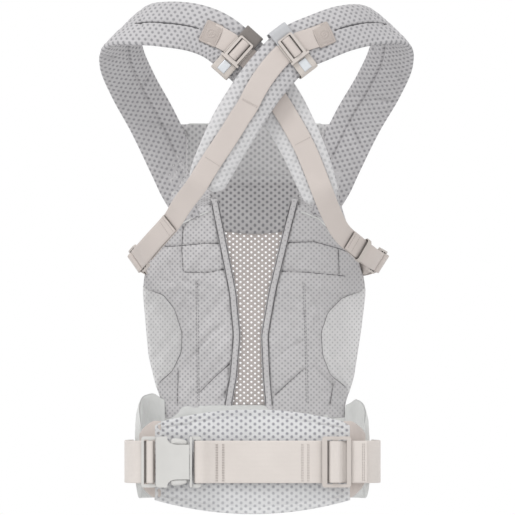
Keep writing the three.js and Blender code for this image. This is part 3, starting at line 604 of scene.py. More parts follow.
def panel_y(x, z):
    """y of the panel's middle surface, cupped round the body."""
    reach = np.abs(x) / CUP_AT
    return softened(PANEL_MIDDLE, z) - softened(PANEL_CUP, z) * reach ** CUP_POWER


ARC_X = np.linspace(0, 150, 151)
ARC_S = lengths(np.column_stack([ARC_X, panel_y(ARC_X, 150.0)]))


def on_panel(x, z, lift=0.0):
    """Points at x and z, lift millimetres off the panel's middle surface."""
    return np.column_stack([x, panel_y(x, z) + lift, z + 0 * x])


def cloth_x(x):
    """Distance along the panel from its middle, for the pattern on the cloth."""
    return np.sign(x) * np.interp(np.abs(x), ARC_X, ARC_S)


# Stitched seams on the panel, as (x, z) lines seen from the wearer's side.
PANEL_SEAMS = [
    [(-107, 253), (-90, 254), (-60, 257), (-38, 257)],
    [(-85, 223), (-60, 222), (-38, 226), (-32, 226)],
    [(-85, 277), (-87, 250), (-85, 223)],
    [(-66, 80), (-48, 98), (-30, 114)],
    [(-91, 107), (-92, 66)],
    [(39, 258), (70, 259), (99, 251), (112, 246)],
    [(27, 224), (58, 223), (98, 219), (108, 218)],
    [(99, 251), (100, 219)],
    [(24, 77), (40, 92), (58, 108)],
    [(93, 90), (89, 66)],
]
TOPSTITCH = [
    [(-69, 214), (-68, 150), (-67, 66)],
    [(58, 211), (60, 150), (62, 66)],
]
FOLDS = [
    [(-100, 232), (-88, 214), (-66, 206)],
    [(-74, 122), (-52, 150), (-38, 160)],
    [(26, 120), (40, 132), (56, 140)],
    [(70, 110), (84, 96), (92, 90)],
    [(64, 200), (74, 176), (70, 150)],
    [(-112, 214), (-96, 210), (-78, 196)],
    [(-40, 72), (-24, 92), (-30, 108)],
]


def groove(distance, width):
    """1 in the middle of a groove, falling off over width."""
    return np.exp(-(distance / width) ** 2)


def panel_relief(x, z):
    """Seams, topstitching, folds and dots of the panel's cloth, as depth."""
    to_seam = distance_to(PANEL_SEAMS, x, z)
    seam = groove(to_seam, 1.3) * 2.4 + groove(to_seam, 9.0) * 1.4
    top = groove(distance_to(TOPSTITCH, x, z), 1.1)
    fold = groove(distance_to(FOLDS, x, z), 3.0) * 2.1
    return ripple(x, z) * 0.9 - seam - top - fold - 0.55 * dots(cloth_x(x), z, PANEL_CELL)


def panel_piece(name, z_low, z_high, edge_a, edge_b, thick, material, relief, step=1.25,
                round_rows=(True, True), steep=3.2, broad=14.0):
    """A stuffed piece of the panel between two edges x(z). round_rows: lower and upper edge are rounded."""
    rows = max(4, int((z_high - z_low) / step) + 1)
    z = (z_low + (z_high - z_low) * (cosine_spread(rows) + 1) / 2)[:, None]
    width = np.max(np.abs(edge_b(z) - edge_a(z)))
    q = cosine_spread(max(5, int(width / step) + 1))[None, :]
    x = edge_a(z) + (edge_b(z) - edge_a(z)) * (q + 1) / 2
    z = np.broadcast_to(z, x.shape)
    y = panel_y(x, z)
    to_edge = (1 - np.abs(q)) * np.abs(edge_b(z) - edge_a(z)) / 2
    for rounded, distance in zip(round_rows, (z - z_low, z_high - z)):
        if rounded:
            to_edge = np.minimum(to_edge, distance)
    t = np.clip(to_edge / steep, 0, 1)
    height = thick / 2 * (0.68 * np.sqrt(np.clip(1 - (1 - t) ** 2, 0, 1)) + 0.32 * smooth(to_edge, 0, broad))
    out = relief(x, z) * smooth(t, 0.0, 1.0)
    outer, inner = (np.stack([x, y + offset, z], axis=-1) for offset in (height + out * 0.6, -height - out))
    return slab(name, outer, inner, np.stack([cloth_x(x), z], axis=-1), material)


def edge(side, table, offset=0.0):
    """One of the panel's edges as a function x(z), moved outward."""
    return lambda z: softened(table[side], z, 5.0) + SIGN[side] * offset


def outer_limit(side, z):
    """x of the panel's outer edge: its side, and the leg pad's seam where the pad is."""
    seam = LEG_SEAM[side]
    side_x = edge(side, SIDE_EDGE)(z)
    inside = smooth(z, seam[0][0] - 3, seam[0][0] + 3) * (1 - smooth(z, seam[-1][0] - 3, seam[-1][0] + 3))
    return side_x + (softened(seam, z, 3.0) - side_x) * inside


def make_panel_side(side, paint):
    """Body panel, leg pad, window binding and upper corner of one side."""
    s = SIGN[side]
    seam = LEG_SEAM[side]
    panel = panel_piece(f"body_panel_{side}_cloth", PANEL_LOW, PANEL_HIGH,
                        edge(side, WINDOW_EDGE, BINDING - 2.5),
                        lambda z: outer_limit(side, z) + s * 0.6, PANEL_THICK, paint["panel"],
                        panel_relief, round_rows=(False, True), broad=9)
    done(panel, "air_mesh", f"body_panel_{side}", fill=0.5)

    def pad_relief(x, z):
        close = groove(distance_to([[(x0, z0) for z0, x0 in seam]], x, z), 2.2)
        return ripple(x, z, 1.0) * 0.7 - 1.4 * close - 0.5 * dots(cloth_x(x), z, PANEL_CELL)

    pad = panel_piece(f"leg_pad_{side}_cloth", seam[0][0] - 5, seam[-1][0] + 4, lambda z: pad_seam(side, z),
                      edge(side, SIDE_EDGE, 1.0), LEG_PAD_THICK, paint["pad"], pad_relief,
                      steep=4.5, broad=20)
    done(pad, "air_mesh", f"leg_pad_{side}", fill=0.7)

    def binding_relief(x, z):
        across = np.abs(x - through(WINDOW_EDGE[side], z))
        stitched = groove(across - 1.0, 0.7) + groove(across - (BINDING - 1.2), 0.7)
        return 0.25 * ripple(x * 3, z * 3) - 0.5 * stitched

    binding = panel_piece(f"window_binding_{side}_cloth", BINDING_LOW, BINDING_HIGH,
                          edge(side, WINDOW_EDGE, -0.6),
                          edge(side, WINDOW_EDGE, BINDING + 0.4), BINDING_THICK, paint["binding"],
                          binding_relief, step=0.9, steep=1.6, broad=3)
    done(binding, "binding", f"window_binding_{side}")
    z = np.arange(BINDING_LOW + 6, BINDING_HIGH - 2, 2.0)
    lines = [(edge(side, WINDOW_EDGE, out)(z), z) for out in (0.9, BINDING - 1.0)]
    seam_shade_cords(f"binding_seam_{side}", lines, -4.0, 0.42, paint, "binding")
    z = np.arange(seam[0][0] + 2, seam[-1][0] - 1, 2.0)
    seam_shade_cords(f"leg_pad_seam_{side}", [(softened(seam, z, 3.0), z)], -1.6, 1.0, paint, "air_mesh")

    upper = panel_piece(f"upper_panel_{side}_cloth", UPPER_LOW, UPPER_HIGH,
                        lambda z: s * corner_inside(side, z),
                        lambda z: s * corner_outside(side, z), UPPER_THICK, paint["panel"], upper_relief,
                        steep=2.4)

    def follow_seam(co):
        """The rows at the lower edge follow the seam."""
        weight = 1 - smooth(co[:, 2], UPPER_LOW, 320)
        co[:, 2] += weight * (flap_line(side, co[:, 0]) - UPPER_LOW)

    move_points(upper, follow_seam)
    done(upper, "air_mesh", f"upper_panel_{side}")
    along = np.linspace(54, 100, 40) * s
    piping = on_panel(along, flap_line(side, along), -4.4)
    done(tube(f"flap_piping_{side}", piping - (0, 0, 0.3), 1.0, paint["lining"]), "air_mesh")


def make_panel(paint):
    """Both sides, and the sewing on the wearer's side."""
    for side in SIGN:
        make_panel_side(side, paint)

    def on_cloth(x, z):
        return -4.25 - panel_relief(x, z)

    topstitch = [[(x + shift, z) for x, z in line] for line in TOPSTITCH for shift in (-1.1, 1.1)]
    line_stitches("panel_topstitch", topstitch, on_cloth, paint["thread"], "air_mesh")
    seams = []
    for line in PANEL_SEAMS:
        steps = lengths(line)
        seams.append(resampled(line, steps, np.linspace(0, steps[-1], max(3, int(steps[-1] / 2)))).T)
    seam_shade_cords("panel_seam", seams, on_cloth, 0.5, paint, "air_mesh")


def corner_inside(side, z):
    """|x| of the upper corner's inner edge: along the binding, then behind the head flap."""
    low = np.maximum(np.abs(softened(WINDOW_EDGE[side], z)) + BINDING - 2, NECK_HALF - 2.0)
    return low + (78 - low) * smooth(z, 333, 341)


def corner_outside(side, z):
    """|x| of its outer edge: the panel's side, then the middle of the strap."""
    side_x = np.abs(edge(side, SIDE_EDGE)(z))
    strap_x = np.interp(z, (300, 322, 351, 402), (100, 100, 106, 122))
    return side_x + (strap_x - side_x) * smooth(z, 292, 312)


def flap_line(side, x):
    """Height of the seam that ends the upper corner."""
    heights = (295, 293, 289.5, 286, 282 if side == "left" else 278, 272)
    return np.interp(np.abs(x), (53, 60, 68, 76, 84, 104), heights)


def pad_seam(side, z):
    """The leg pad's curved seam, brought out to the panel's edge at both ends."""
    seam = LEG_SEAM[side]
    start = edge(side, SIDE_EDGE, -3)(z)
    inside = smooth(z, seam[0][0] - 5, seam[0][0] + 4) * (1 - smooth(z, seam[-1][0] - 2, seam[-1][0] + 4))
    return start + (softened(seam, z, 3.0) - SIGN[side] - start) * inside


def upper_relief(x, z):
    """Waves and dots of the upper corners."""
    return ripple(x, z, 2.0) * 0.7 - 0.5 * dots(cloth_x(x), z, PANEL_CELL)


def line_stitches(name, lines, lift, material, slot):
    """Rows of stitches on the wearer's side of the panel, joined in one object. lift is a function (x, z)."""
    parts = []
    for k, line in enumerate(lines):
        steps = lengths(line)
        x, z = resampled(line, steps, np.arange(0, steps[-1], 1.5)).T
        parts.append(stitches(f"{name}_{k}", on_panel(x, z, lift(x, z)), (0, -1, 0), material))
    done(joined(name, parts), slot)


def seam_shade_cords(name, lines, lift, radius, paint, slot):
    """Dark cords along sewn lines on the wearer's side of the panel, each from its x and z values: their dark
    colour is painted shade in the seams.
    """
    parts = []
    for k, (x, z) in enumerate(lines):
        height = lift(x, z) if callable(lift) else lift
        parts.append(tube(f"{name}_{k}", on_panel(x, z, height), radius, paint["seam_shade_thread"], 8))
    done(joined(name, parts), slot)


def joined(name, parts):
    """Several objects as one mesh."""
    bpy.ops.object.select_all(action="DESELECT")
    for part in parts:
        part.select_set(True)
    bpy.context.view_layer.objects.active = parts[0]
    bpy.ops.object.join()
    parts[0].name = name
    return parts[0]


def done(obj, slot, *nodes, body="root", fill=None):
    """Hides the CAD nodes that a finished piece stands for, and puts it on its body. slot and fill are not
    used.
    """
    if nodes:
        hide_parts(*nodes)
    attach(obj, body)


def tube(name, points, radius, material, sides=10):
    """A round cord along points, closed at its ends."""
    points = np.asarray(points, float)
    t = unit(np.gradient(points, axis=0))
    side = unit(np.cross(t, (0.1, 1.0, 0.2)))
    up = np.cross(side, t)
    angle = np.linspace(0, 2 * math.pi, sides, endpoint=False)
    ring = side[:, None, :] * np.cos(angle)[None, :, None] + up[:, None, :] * np.sin(angle)[None, :, None]
    scale = np.full(len(points), float(radius))
    scale[0] = scale[-1] = radius * 0.05
    verts = (points[:, None, :] + ring * scale[:, None, None]).reshape(-1, 3)
    index = np.arange(len(points) * sides).reshape(len(points), sides)
    after = np.roll(index, -1, axis=1)
    faces = np.stack([index[:-1], after[:-1], after[1:], index[1:]], axis=-1).reshape(-1, 4)
    uv = np.stack([np.repeat(lengths(points), sides), np.tile(angle * radius, len(points))], axis=-1)
    return build_mesh(name, verts, faces, uv, material)


# ---- window ----
HOLE_COLUMN, HOLE_ROW = 4.3, 6.4     # pitch of the holes
HOLE_HALF = (1.42, 1.27)
CELL_WIDE, CELL_NARROW, CELL_HIGH = 3.341, 0.959, 3.2     # half sizes of a six-sided cell
RIM_POINTS = 12
WINDOW_THICK = 1.1


def make_window(paint):
    """The open knit: one six-sided cell round each hole, shared corners, two faces and the holes' walls."""
    corner = [(CELL_WIDE, 0), (CELL_NARROW, CELL_HIGH), (-CELL_NARROW, CELL_HIGH)]
    corner = np.array(corner + [(-x, -z) for x, z in corner])
    rim = np.stack([corner, (corner + np.roll(corner, -1, axis=0)) / 2], axis=1).reshape(-1, 2)
    angle = np.arctan2(rim[:, 1] / CELL_HIGH, rim[:, 0] / CELL_WIDE)
    hole = np.column_stack([HOLE_HALF[0] * np.cos(angle), HOLE_HALF[1] * np.sin(angle)])
    cell = np.vstack([rim, rim * 0.42 + hole * 0.58, hole])
    centres = []
    for i in range(-12, 13):
        for j in range(8, 46):
            x, z = i * HOLE_COLUMN, j * HOLE_ROW + (i % 2) * HOLE_ROW / 2
            left, right = (through(WINDOW_EDGE[side], z) + SIGN[side] * 5.0 for side in SIGN)
            if left < x < right and 62 < z < WINDOW_TOP + 6:
                centres.append((x, z))
    count = len(centres)
    x, z = (np.array(centres)[:, None, :] + cell).reshape(-1, 2).T
    rounding = np.tile(np.repeat([0.5, 0.62, 0.12], RIM_POINTS), count) * WINDOW_THICK
    middle = on_panel(x, z, 0.4 * ripple(x * 1.5, z * 1.2, 3.0))
    points = np.vstack([middle + np.outer(sign * rounding, (0, 1, 0)) for sign in (-1, 1)])
    back = len(cell) * count
    base = (np.arange(count) * len(cell))[:, None]
    k = np.arange(RIM_POINTS)
    j = (k + 1) % RIM_POINTS

    def ring(first, second, third, fourth, flip=False):
        quads = np.stack([base + first + k, base + second + j, base + third + j, base + fourth + k], -1)
        return quads.reshape(-1, 4)[:, ::-1 if flip else 1]

    mid, low = RIM_POINTS, 2 * RIM_POINTS
    faces = np.vstack([
        ring(0, 0, mid, mid), ring(mid, mid, low, low), ring(back, back, mid + back, mid + back, True),
        ring(mid + back, mid + back, low + back, low + back, True), ring(low, low, low + back, low + back)])
    window = build_mesh("mesh_window_knit", points, faces, points[:, ::2], paint["window"])
    window.modifiers.new("weld", "WELD").merge_threshold = 0.05 * MM
    bpy.context.view_layer.objects.active = window
    window.select_set(True)
    bpy.ops.object.modifier_apply(modifier="weld")
    window.select_set(False)
    done(window, "window_mesh", "mesh_window")
    x = np.linspace(-38, 35, 50)
    hem = on_panel(x, WINDOW_TOP - 1.0 - 3.5 * (1 - (x / 38) ** 2), -1.6)
    done(tube("window_hem", hem, 0.8, paint["lining"]), "window_mesh")


# ---- head support ----
def make_head_support(paint):
    """The neck piece over the window, and the head flap that folds."""
    def narrow(side):
        """The window's edge, brought in to the neck piece's side above the window."""
        low_edge, side_x = edge(side, WINDOW_EDGE, 3.0), SIGN[side] * (NECK_HALF + 1.0)
        return lambda z: np.where(z < 304, low_edge(z),
                                  side_x + (low_edge(304) - side_x) * (1 - smooth(z, 304, 312)))

    seams = [[(-60, 325), (0, 324), (60, 325)], [(-60, 337), (0, 337.5), (60, 337)], [(-60, 341), (60, 341)]]

    def relief(x, z):
        close = distance_to(seams, x, z)
        stitched = 1.3 * groove(close, 1.4) + 0.7 * groove(close, 6)
        return ripple(x, z, 4.0) * 0.8 - stitched - 0.6 * dots(cloth_x(x), z, NECK_CELL)

    def sag(co):
        """The lower edge hangs a little in the middle."""
        weight = 1 - smooth(co[:, 2], WINDOW_TOP - 4, WINDOW_TOP + 22)
        co[:, 2] -= weight * 3.5 * np.clip(1 - (co[:, 0] / 38) ** 2, 0, 1)

    neck = panel_piece("neck_support_cloth", WINDOW_TOP - 3.5, FOLD_Z + 1.5, narrow("left"), narrow("right"),
                       UPPER_THICK, paint["neck"], relief, round_rows=(True, False))
    move_points(neck, sag)
    done(neck, "air_mesh", "neck_support", fill=0.6)

    def flap_half(z):
        return FLAP_HALF + 2.0 * smooth(z, 380, 396)

    flap = panel_piece("head_flap_cloth", FOLD_Z - 1.5, PANEL_TOP + 2, lambda z: -flap_half(z), flap_half,
                       UPPER_THICK, paint["neck"], relief, round_rows=(False, True))
    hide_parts("head_flap")
    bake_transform(flap)
    piping = on_panel(np.linspace(-80, 80, 60), 395.5) + (0, 0, 2.5)
    done(tube("head_flap_piping", piping, 1.3, paint["lining"]), "air_mesh", body="head_flap")


# ---- shoulder straps ----
STRAP = {
    "right": [
        (84, 82, 322, 0, 1, 0), (97, 80, 351, 0, 1, 0), (122, 68, 402, 0.1, 0.95, 0.2),
        (146, 44, 443, 0.3, 0.8, 0.5), (161, 10, 478, 0.45, 0.35, 0.82), (160, -26, 506, 0.45, -0.3, 0.83),
        (137, -58, 514, 0.3, -0.75, 0.55), (106, -80, 510, 0.12, -0.94, 0.3), (75, -93, 498.5, 0, -1, 0.1),
        (45, -101, 484, 0, -1, 0), (10, -106, 447, 0, -1, 0), (-10, -105, 418, 0, -1, 0),
        (-28, -102, 388, 0, -1, 0), (-45, -98, 355, 0, -1, 0), (-60, -93, 322, 0, -1, 0)],
    "left": [
        (-82, 82, 318, 0, 1, 0), (-98, 80, 353, 0, 1, 0), (-122, 68, 403, -0.1, 0.95, 0.2),
        (-144, 44, 443, -0.3, 0.8, 0.5), (-158, 10, 478, -0.45, 0.35, 0.82),
        (-155, -26, 505, -0.45, -0.3, 0.83), (-132, -54, 514, -0.3, -0.75, 0.55),
        (-102, -70, 514.5, -0.12, -0.94, 0.3), (-70, -78, 510, 0, -1, 0.1), (-45, -82, 500, 0, -1, 0),
        (-20, -84, 480, 0, -1, 0), (5, -84, 455, 0, -1, 0), (22, -84, 430, 0, -1, 0),
        (40, -84, 400, 0, -1, 0), (58, -84, 365, 0, -1, 0), (76, -82, 318, 0, -1, 0)],
}
FREE = {
    "right": [
        (-85, -86, 303, -0.25, -0.95, -0.1), (-97, -68, 284, -0.5, -0.8, -0.2),
        (-114, -40, 264, -0.7, -0.6, -0.3), (-127, -12, 249, -0.77, -0.42, -0.45),
        (-133, 10, 242, -0.78, -0.34, -0.5)],
    "left": [
        (88, -78, 296, 0.25, -0.95, -0.1), (101, -60, 271, 0.5, -0.8, -0.2),
        (119, -36, 254, 0.7, -0.6, -0.3), (133, -12, 243, 0.77, -0.42, -0.45),
        (140, 10, 239, 0.78, -0.34, -0.5)],
}
WEBBING_START = {"left": 0.586, "right": 0.562}
WEBBING_ACROSS = {
    "left": [(0, 0), (0.17, -4), (0.28, -4), (0.5, -1), (1, -3)],
    "right": [(0, 0), (0.17, 4), (0.28, 4), (0.5, -1), (0.7, 0), (1, 9)],
}
LABEL_U = {"left": 0.578, "right": 0.557}
SLIDER_U = {"left": 0.664, "right": 0.645}
SLIDER_ACROSS = 4
ACROSS = {"left": "right", "right": "left"}
WEBBING_STOP, TAIL_START_U, TAIL_END_LIFT = 0.955, 0.965, 3
TAIL_END_U = {"left": 0.853, "right": 0.83}
BAR_MIDDLE, BAR_END = (1, 4.5), (11.5, 16)


def frame_on(stations, u):
    """Point, tangent, outward normal and width direction at one place on a route."""
    stations = np.asarray(stations, float)
    around = np.array([u - 1e-4, u, u + 1e-4])
    p = spline(stations[:, :3], around)
    n = spline(stations[:, 3:], np.array([u]))[0]
    t = unit(p[2] - p[0])
    n = unit(n - np.dot(n, t) * t)
    return p[1], t, n, np.cross(t, n)


def beside(p, t, n, pairs):
    """Points at (along the tangent, along the normal) from a place."""
    return [p + t * a + n * b for a, b in pairs]


def frames_on(stations, start, stop):
    """13 evenly spread frames on a route."""
    return [frame_on(stations, start + (stop - start) * (i / 12)) for i in range(13)]


def webbing_stations(side):
    """The shoulder webbing's route: along the strap, then free to the adjuster."""
    stations = []
    for i, (p, _, n, w) in enumerate(frames_on(STRAP[side], WEBBING_START[side], 1.0)):
        across = float(through(WEBBING_ACROSS[side], i / 12))
        stations.append((*(p + w * across + n * ON_STRAP), *n))
    return stations + FREE[side]


def strap_edge(u):
    """Half the strap's width, which narrows at its lower end."""
    return softened([(0, PAD_HALF), (0.84, PAD_HALF), (0.97, 24), (1.0, 20), (1.05, 17)], u, 0.012)


def make_strap(side, paint):
    """One padded strap, from the panel over the shoulder to its crossed end."""
    root, s = STRAP[side][0], SIGN[side]
    end = np.array(STRAP[side][-1]) + (np.array([4.5, 0.5, -11.5, 0, 0, 0]) if side == "left" else 0)
    stations = [(root[0] - s * 13, root[1] + 3, root[2] - 30, 0, 1, 0)] + STRAP[side][:-1] + [tuple(end)]
    band = route_band(stations, 1.0, 1.35)
    count = len(STRAP[side]) - 1
    u = band.u = (band.u * (count + 1) - 1) / count
    to_end = band.s[-1] - band.s
    # Near the root the inner side ends at the head flap.
    to_flap = (np.abs(band.p[:, 0]) - (FLAP_HALF + 1.0)) / np.maximum(np.abs(band.w[:, 0]), 0.2)
    grown = np.minimum(np.where(u < 0.2, np.maximum(to_flap, 0), PAD_HALF), strap_edge(u))
    grown = np.where(u < 0.04, np.maximum(grown, 4), grown)
    grown = np.convolve(np.pad(grown, 4, mode="edge"), np.ones(9) / 9, mode="valid")
    armward = strap_edge(u) - 4 * (1 - smooth(u, -0.06, 0.03))
    tip = 0.62 + 0.38 * np.sqrt(smooth(to_end, 0.0, 9.0))
    low, high = (-armward * tip, grown * tip) if side == "right" else (-grown * tip, armward * tip)
    label_s, fold_s = np.interp((LABEL_U[side], 0.43), u, band.s)
    stuffing = 0.35 + 0.65 * smooth(u, -0.02, 0.16)
    thick = PAD_THICK / 2 * stuffing * (0.25 + 0.75 * np.sqrt(smooth(to_end, 0, 9)))
    # Place along the strap, slant and depth of each crease.
    creases = [(0.13, 0.9, 1.2), (0.19, -0.5, 1.6), (0.27, 0.7, 1.3), (0.335, -0.4, 1.5), (0.40, 0.5, 1.0)]

    def relief(along, across, face):
        out = 0.5 * ripple(along, across * 1.3, 1.0 if side == "left" else 2.5)
        out = out - 0.55 * dots(along, across, STRAP_CELL)
        rim = np.minimum(np.abs(across - low[:, None]), np.abs(high[:, None] - across))
        out = out - 0.7 * groove(rim - 4.5, 1.2)
        if face > 0:
            reach = (1 - smooth(along, label_s - 14, label_s - 8)) * smooth(along, fold_s - 60, fold_s)
            out = out - 2.4 * groove(across, 1.5) * reach
        fade = smooth(0.45 - u, 0.0, 0.05)[:, None]
        for place, slant, depth in creases:
            line = along - np.interp(place, u, band.s) - slant * across
            uneven = 0.5 + 0.5 * np.sin(across / 9 + place * 20)
            out = out - 2.3 * depth * groove(line, 2.8) * fade * uneven
        inner_seam = groove(across - s * 8, 1.4) * smooth(0.40 - u, 0.0, 0.04)[:, None]
        return out - (2.4 if face < 0 else 0.6) * inner_seam

    strap = band_slab(f"shoulder_strap_{side}", band, low, high, thick, 52, paint["strap"], relief)
    done(strap, "air_mesh", *(f"strap_{layer}_{side}" for layer in ("cover", "lining", "foam")), fill=0.6)
    keep = (band.s > fold_s - 30) & (band.s < label_s - 10)
    line = band.p[keep] + band.n[keep] * (PAD_THICK / 2 - 2.1)
    # A dark cord in the strap's middle seam: painted shade.
    done(tube(f"strap_centre_seam_{side}", line, 0.75, paint["seam_shade_thread"], 8), "air_mesh")


def flat_band(name, band, width, material, thick=WEBBING, cols=13):
    """Flat webbing with full edges and a raised line beside each."""
    q = np.concatenate([[-1, -0.985], np.linspace(-0.94, 0.94, cols - 4), [0.985, 1]])
    profile = np.array([0.35, 0.8] + [1.0] * (cols - 4) + [0.8, 0.35])
    selvedge = np.where((np.abs(q) > 0.86) & (np.abs(q) < 0.97), 0.12, 0.0)
    across = np.broadcast_to(q * width / 2, (len(band.s), cols))
    half = np.broadcast_to(thick / 2 * (profile + selvedge), across.shape)
    return ribbon(name, band, across, half, half, material)


def cross_rows(name, places, width, paint, body="root"):
    """Stitch rows across a webbing at the given (point, tangent, normal, w) frames."""
    q = np.linspace(-width / 2 + 1.2, width / 2 - 1.2, 24)[:, None]
    parts = [stitches(f"{name}_{k}", p + w * q + n * (WEBBING / 2 + 0.15), n, paint["taupe_thread"],
                      pitch=2.6, length=2.0, radius=0.26) for k, (p, _, n, w) in enumerate(places)]
    done(joined(name, parts), "webbing", body=body)


def make_shoulder_webbing(side, paint):
    """The webbing that runs down a strap and on to the adjuster."""
    stations = webbing_stations(side)
    band = route_band(stations, WEBBING_STOP, 1.6)
    webbing = flat_band(f"shoulder_webbing_{side}_weave", band, STRAP_WEBBING, paint["webbing"])
    done(webbing, "webbing", f"shoulder_webbing_{side}")
    rows = {"right": (0.34, 0.345, 0.60), "left": (0.30, 0.56)}[side]
    places = [frame_on(stations, u) for u in rows]
    cross_rows(f"shoulder_webbing_{side}_stitch", places, STRAP_WEBBING, paint)


def adjuster_base(side):
    """The adjuster's own frame, just above the end of the shoulder webbing."""
    p, t, n, w = frame_on(webbing_stations(side), 1.0)
    return p + n * ADJUSTER_LIFT, t, n, w


def arc_points(cx, cy, radius, start, stop, count):
    """Points of an arc, with its angles in half turns."""
    angle = np.linspace(start, stop, count + 1) * math.pi
    return [(cx + radius * math.cos(a), cy + radius * math.sin(a)) for a in angle]


SEWN_HEIGHT, SEWN_LENGTH, SEWN_LIFT = 233, 14, 4.9


def sewn_place(side, w):
    """Where the anchor is sewn on the panel: point at the edge, outward normal, width direction, inward."""
    steps = np.array([-1.0, 0.0, 1.0])
    z = SEWN_HEIGHT + steps
    x = edge(side, SIDE_EDGE)(z)[1] + steps
    along_x, along_z = panel_y(x, z[1]), panel_y(x[1], z)
    out = unit(np.array([(along_x[0] - along_x[2]) / 2, 1.0, (along_z[0] - along_z[2]) / 2]))
    across = unit(w - out * (w @ out))
    inward = np.cross(out, across)
    inward = inward * -np.sign(inward[0] * SIGN[side])
    return np.array([x[1], along_x[1], z[1]]), out, across, inward


def make_adjuster_webbing(panel_side, paint):
    """The turn round the adjuster's bar with the tail, and the anchor loop sewn into the panel."""
    side = ACROSS[panel_side]
    body, width = f"adjuster_{panel_side}", STRAP_WEBBING - 1
    p, t, n, w = adjuster_base(side)
    lift = ADJUSTER_LIFT
    bar = [(-9, -lift), (-3, -lift)] + arc_points(BAR_MIDDLE[1] - 1, 0, lift, -0.5, 0.5, 8) + [(-3, lift)]
    points = beside(p, t, n, bar)
    guide = [w] * len(bar)
    for i, (q, _, qn, qw) in enumerate(frames_on(webbing_stations(side), TAIL_START_U, TAIL_END_U[side])):
        points.append(q + qn * (2 * lift + (TAIL_END_LIFT - 2 * lift) * i / 12))
        guide.append(qw)
    band = bent_band(np.array(points), w, 1.0)
    band.turn_to(spline(np.array(guide), np.linspace(0, 1, len(band.s))))
    tail = flat_band(f"webbing_tail_{panel_side}_weave", band, width, paint["webbing"])
    done(tail, "webbing", f"webbing_tail_{panel_side}", body=body)
    places = []
    for back in (3.0, 11.0):
        k = int(np.argmin(np.abs(band.s - (band.s[-1] - back))))
        places += [(band.p[k], band.t[k], face * band.n[k], band.w[k]) for face in (-1, 1)]
    cross_rows(f"webbing_tail_{panel_side}_stitch", places, width, paint, body)

    around = arc_points(sum(BAR_END) / 2, 0, 4.2, 0.5, 1.5, 8)
    loop = beside(p, t, n, [(31, -2.6), (24.5, 2.4)] + around + [(22, -3.8), (28.5, -6.3)])
    sewn, out, across, inward = sewn_place(panel_side, w)
    lifts = (SEWN_LIFT + WEBBING + 0.2, SEWN_LIFT)
    first, last = [[sewn + inward * a + out * (lift if a > 0 else lift - 0.6) for a in (SEWN_LENGTH, 3, -4.5)]
                   for lift in lifts]
    turned = [across, across, unit(across + w)]
    band = bent_band(np.array(first + loop + last[::-1]), w, 0.9)
    band.turn_to(spline(np.array(turned + [w] * len(loop) + turned[::-1]), band.u))
    anchor = flat_band(f"adjuster_anchor_{panel_side}_weave", band, width, paint["webbing"])
    done(anchor, "webbing", f"adjuster_anchor_{panel_side}")
    places = [(sewn + inward * (SEWN_LENGTH - a) + out * lifts[0], inward, out, across) for a in (2, 9)]
    cross_rows(f"adjuster_anchor_{panel_side}_stitch", places, width, paint)


def ring_band(place, name, half_width, low, high, length, material, body, node, thick=1.1, far=None):
    """A flat elastic loop round the strap at a frame: ribs, rounded corners and soft edges.

    far is (sign, across, material): past that place across the strap, the loop is of the other cloth.
    """
    p, t, n, w = place
    radius = 4.5
    outline = []
    for k, (x, y) in enumerate([(1, high), (-1, high), (-1, low), (1, low)]):
        inset = -radius if y == high else radius
        outline += arc_points(x * (half_width - radius), y + inset, radius, k / 2, (k + 1) / 2, 6)
    outline = np.array(outline + outline[:1])
    steps = lengths(outline)
    at = np.linspace(0, steps[-1], 150)
    ring = resampled(outline, steps, at)
    direction = unit(np.gradient(ring, axis=0))
    direction[0] = direction[-1] = unit(direction[0] + direction[-1])
    q = np.linspace(-1, 1, 25)
    ribs = 0.10 * np.cos(q * length / 1.5 * math.pi)
    half = thick / 2 * (1 - 0.6 * smooth(np.abs(q), 0.93, 1.0)) + ribs * (np.abs(q) < 0.93)
    centre = (p + w * ring[:, :1] + n * ring[:, 1:])[:, None, :] + t * (q * length / 2)[:, None]
    out = (w * direction[:, 1:] - n * direction[:, :1])[:, None, :] * half[:, None]
    uv = np.stack(np.meshgrid(at, q * length / 2, indexing="ij"), -1)
    band = slab(name, centre + out, centre - out, uv, material)
    if far is not None:
        sign, limit, other = far
        across = (read_points(band.data.polygons, "center") - p) @ w
        two_cloths(band, other, across * sign > limit)
    done(band, "elastic", node, body=body)


def two_cloths(obj, other, where):
    """Gives the faces picked by where a second material."""
    obj.data.materials.append(other)
    obj.data.polygons.foreach_set("material_index", where.astype(np.int32))


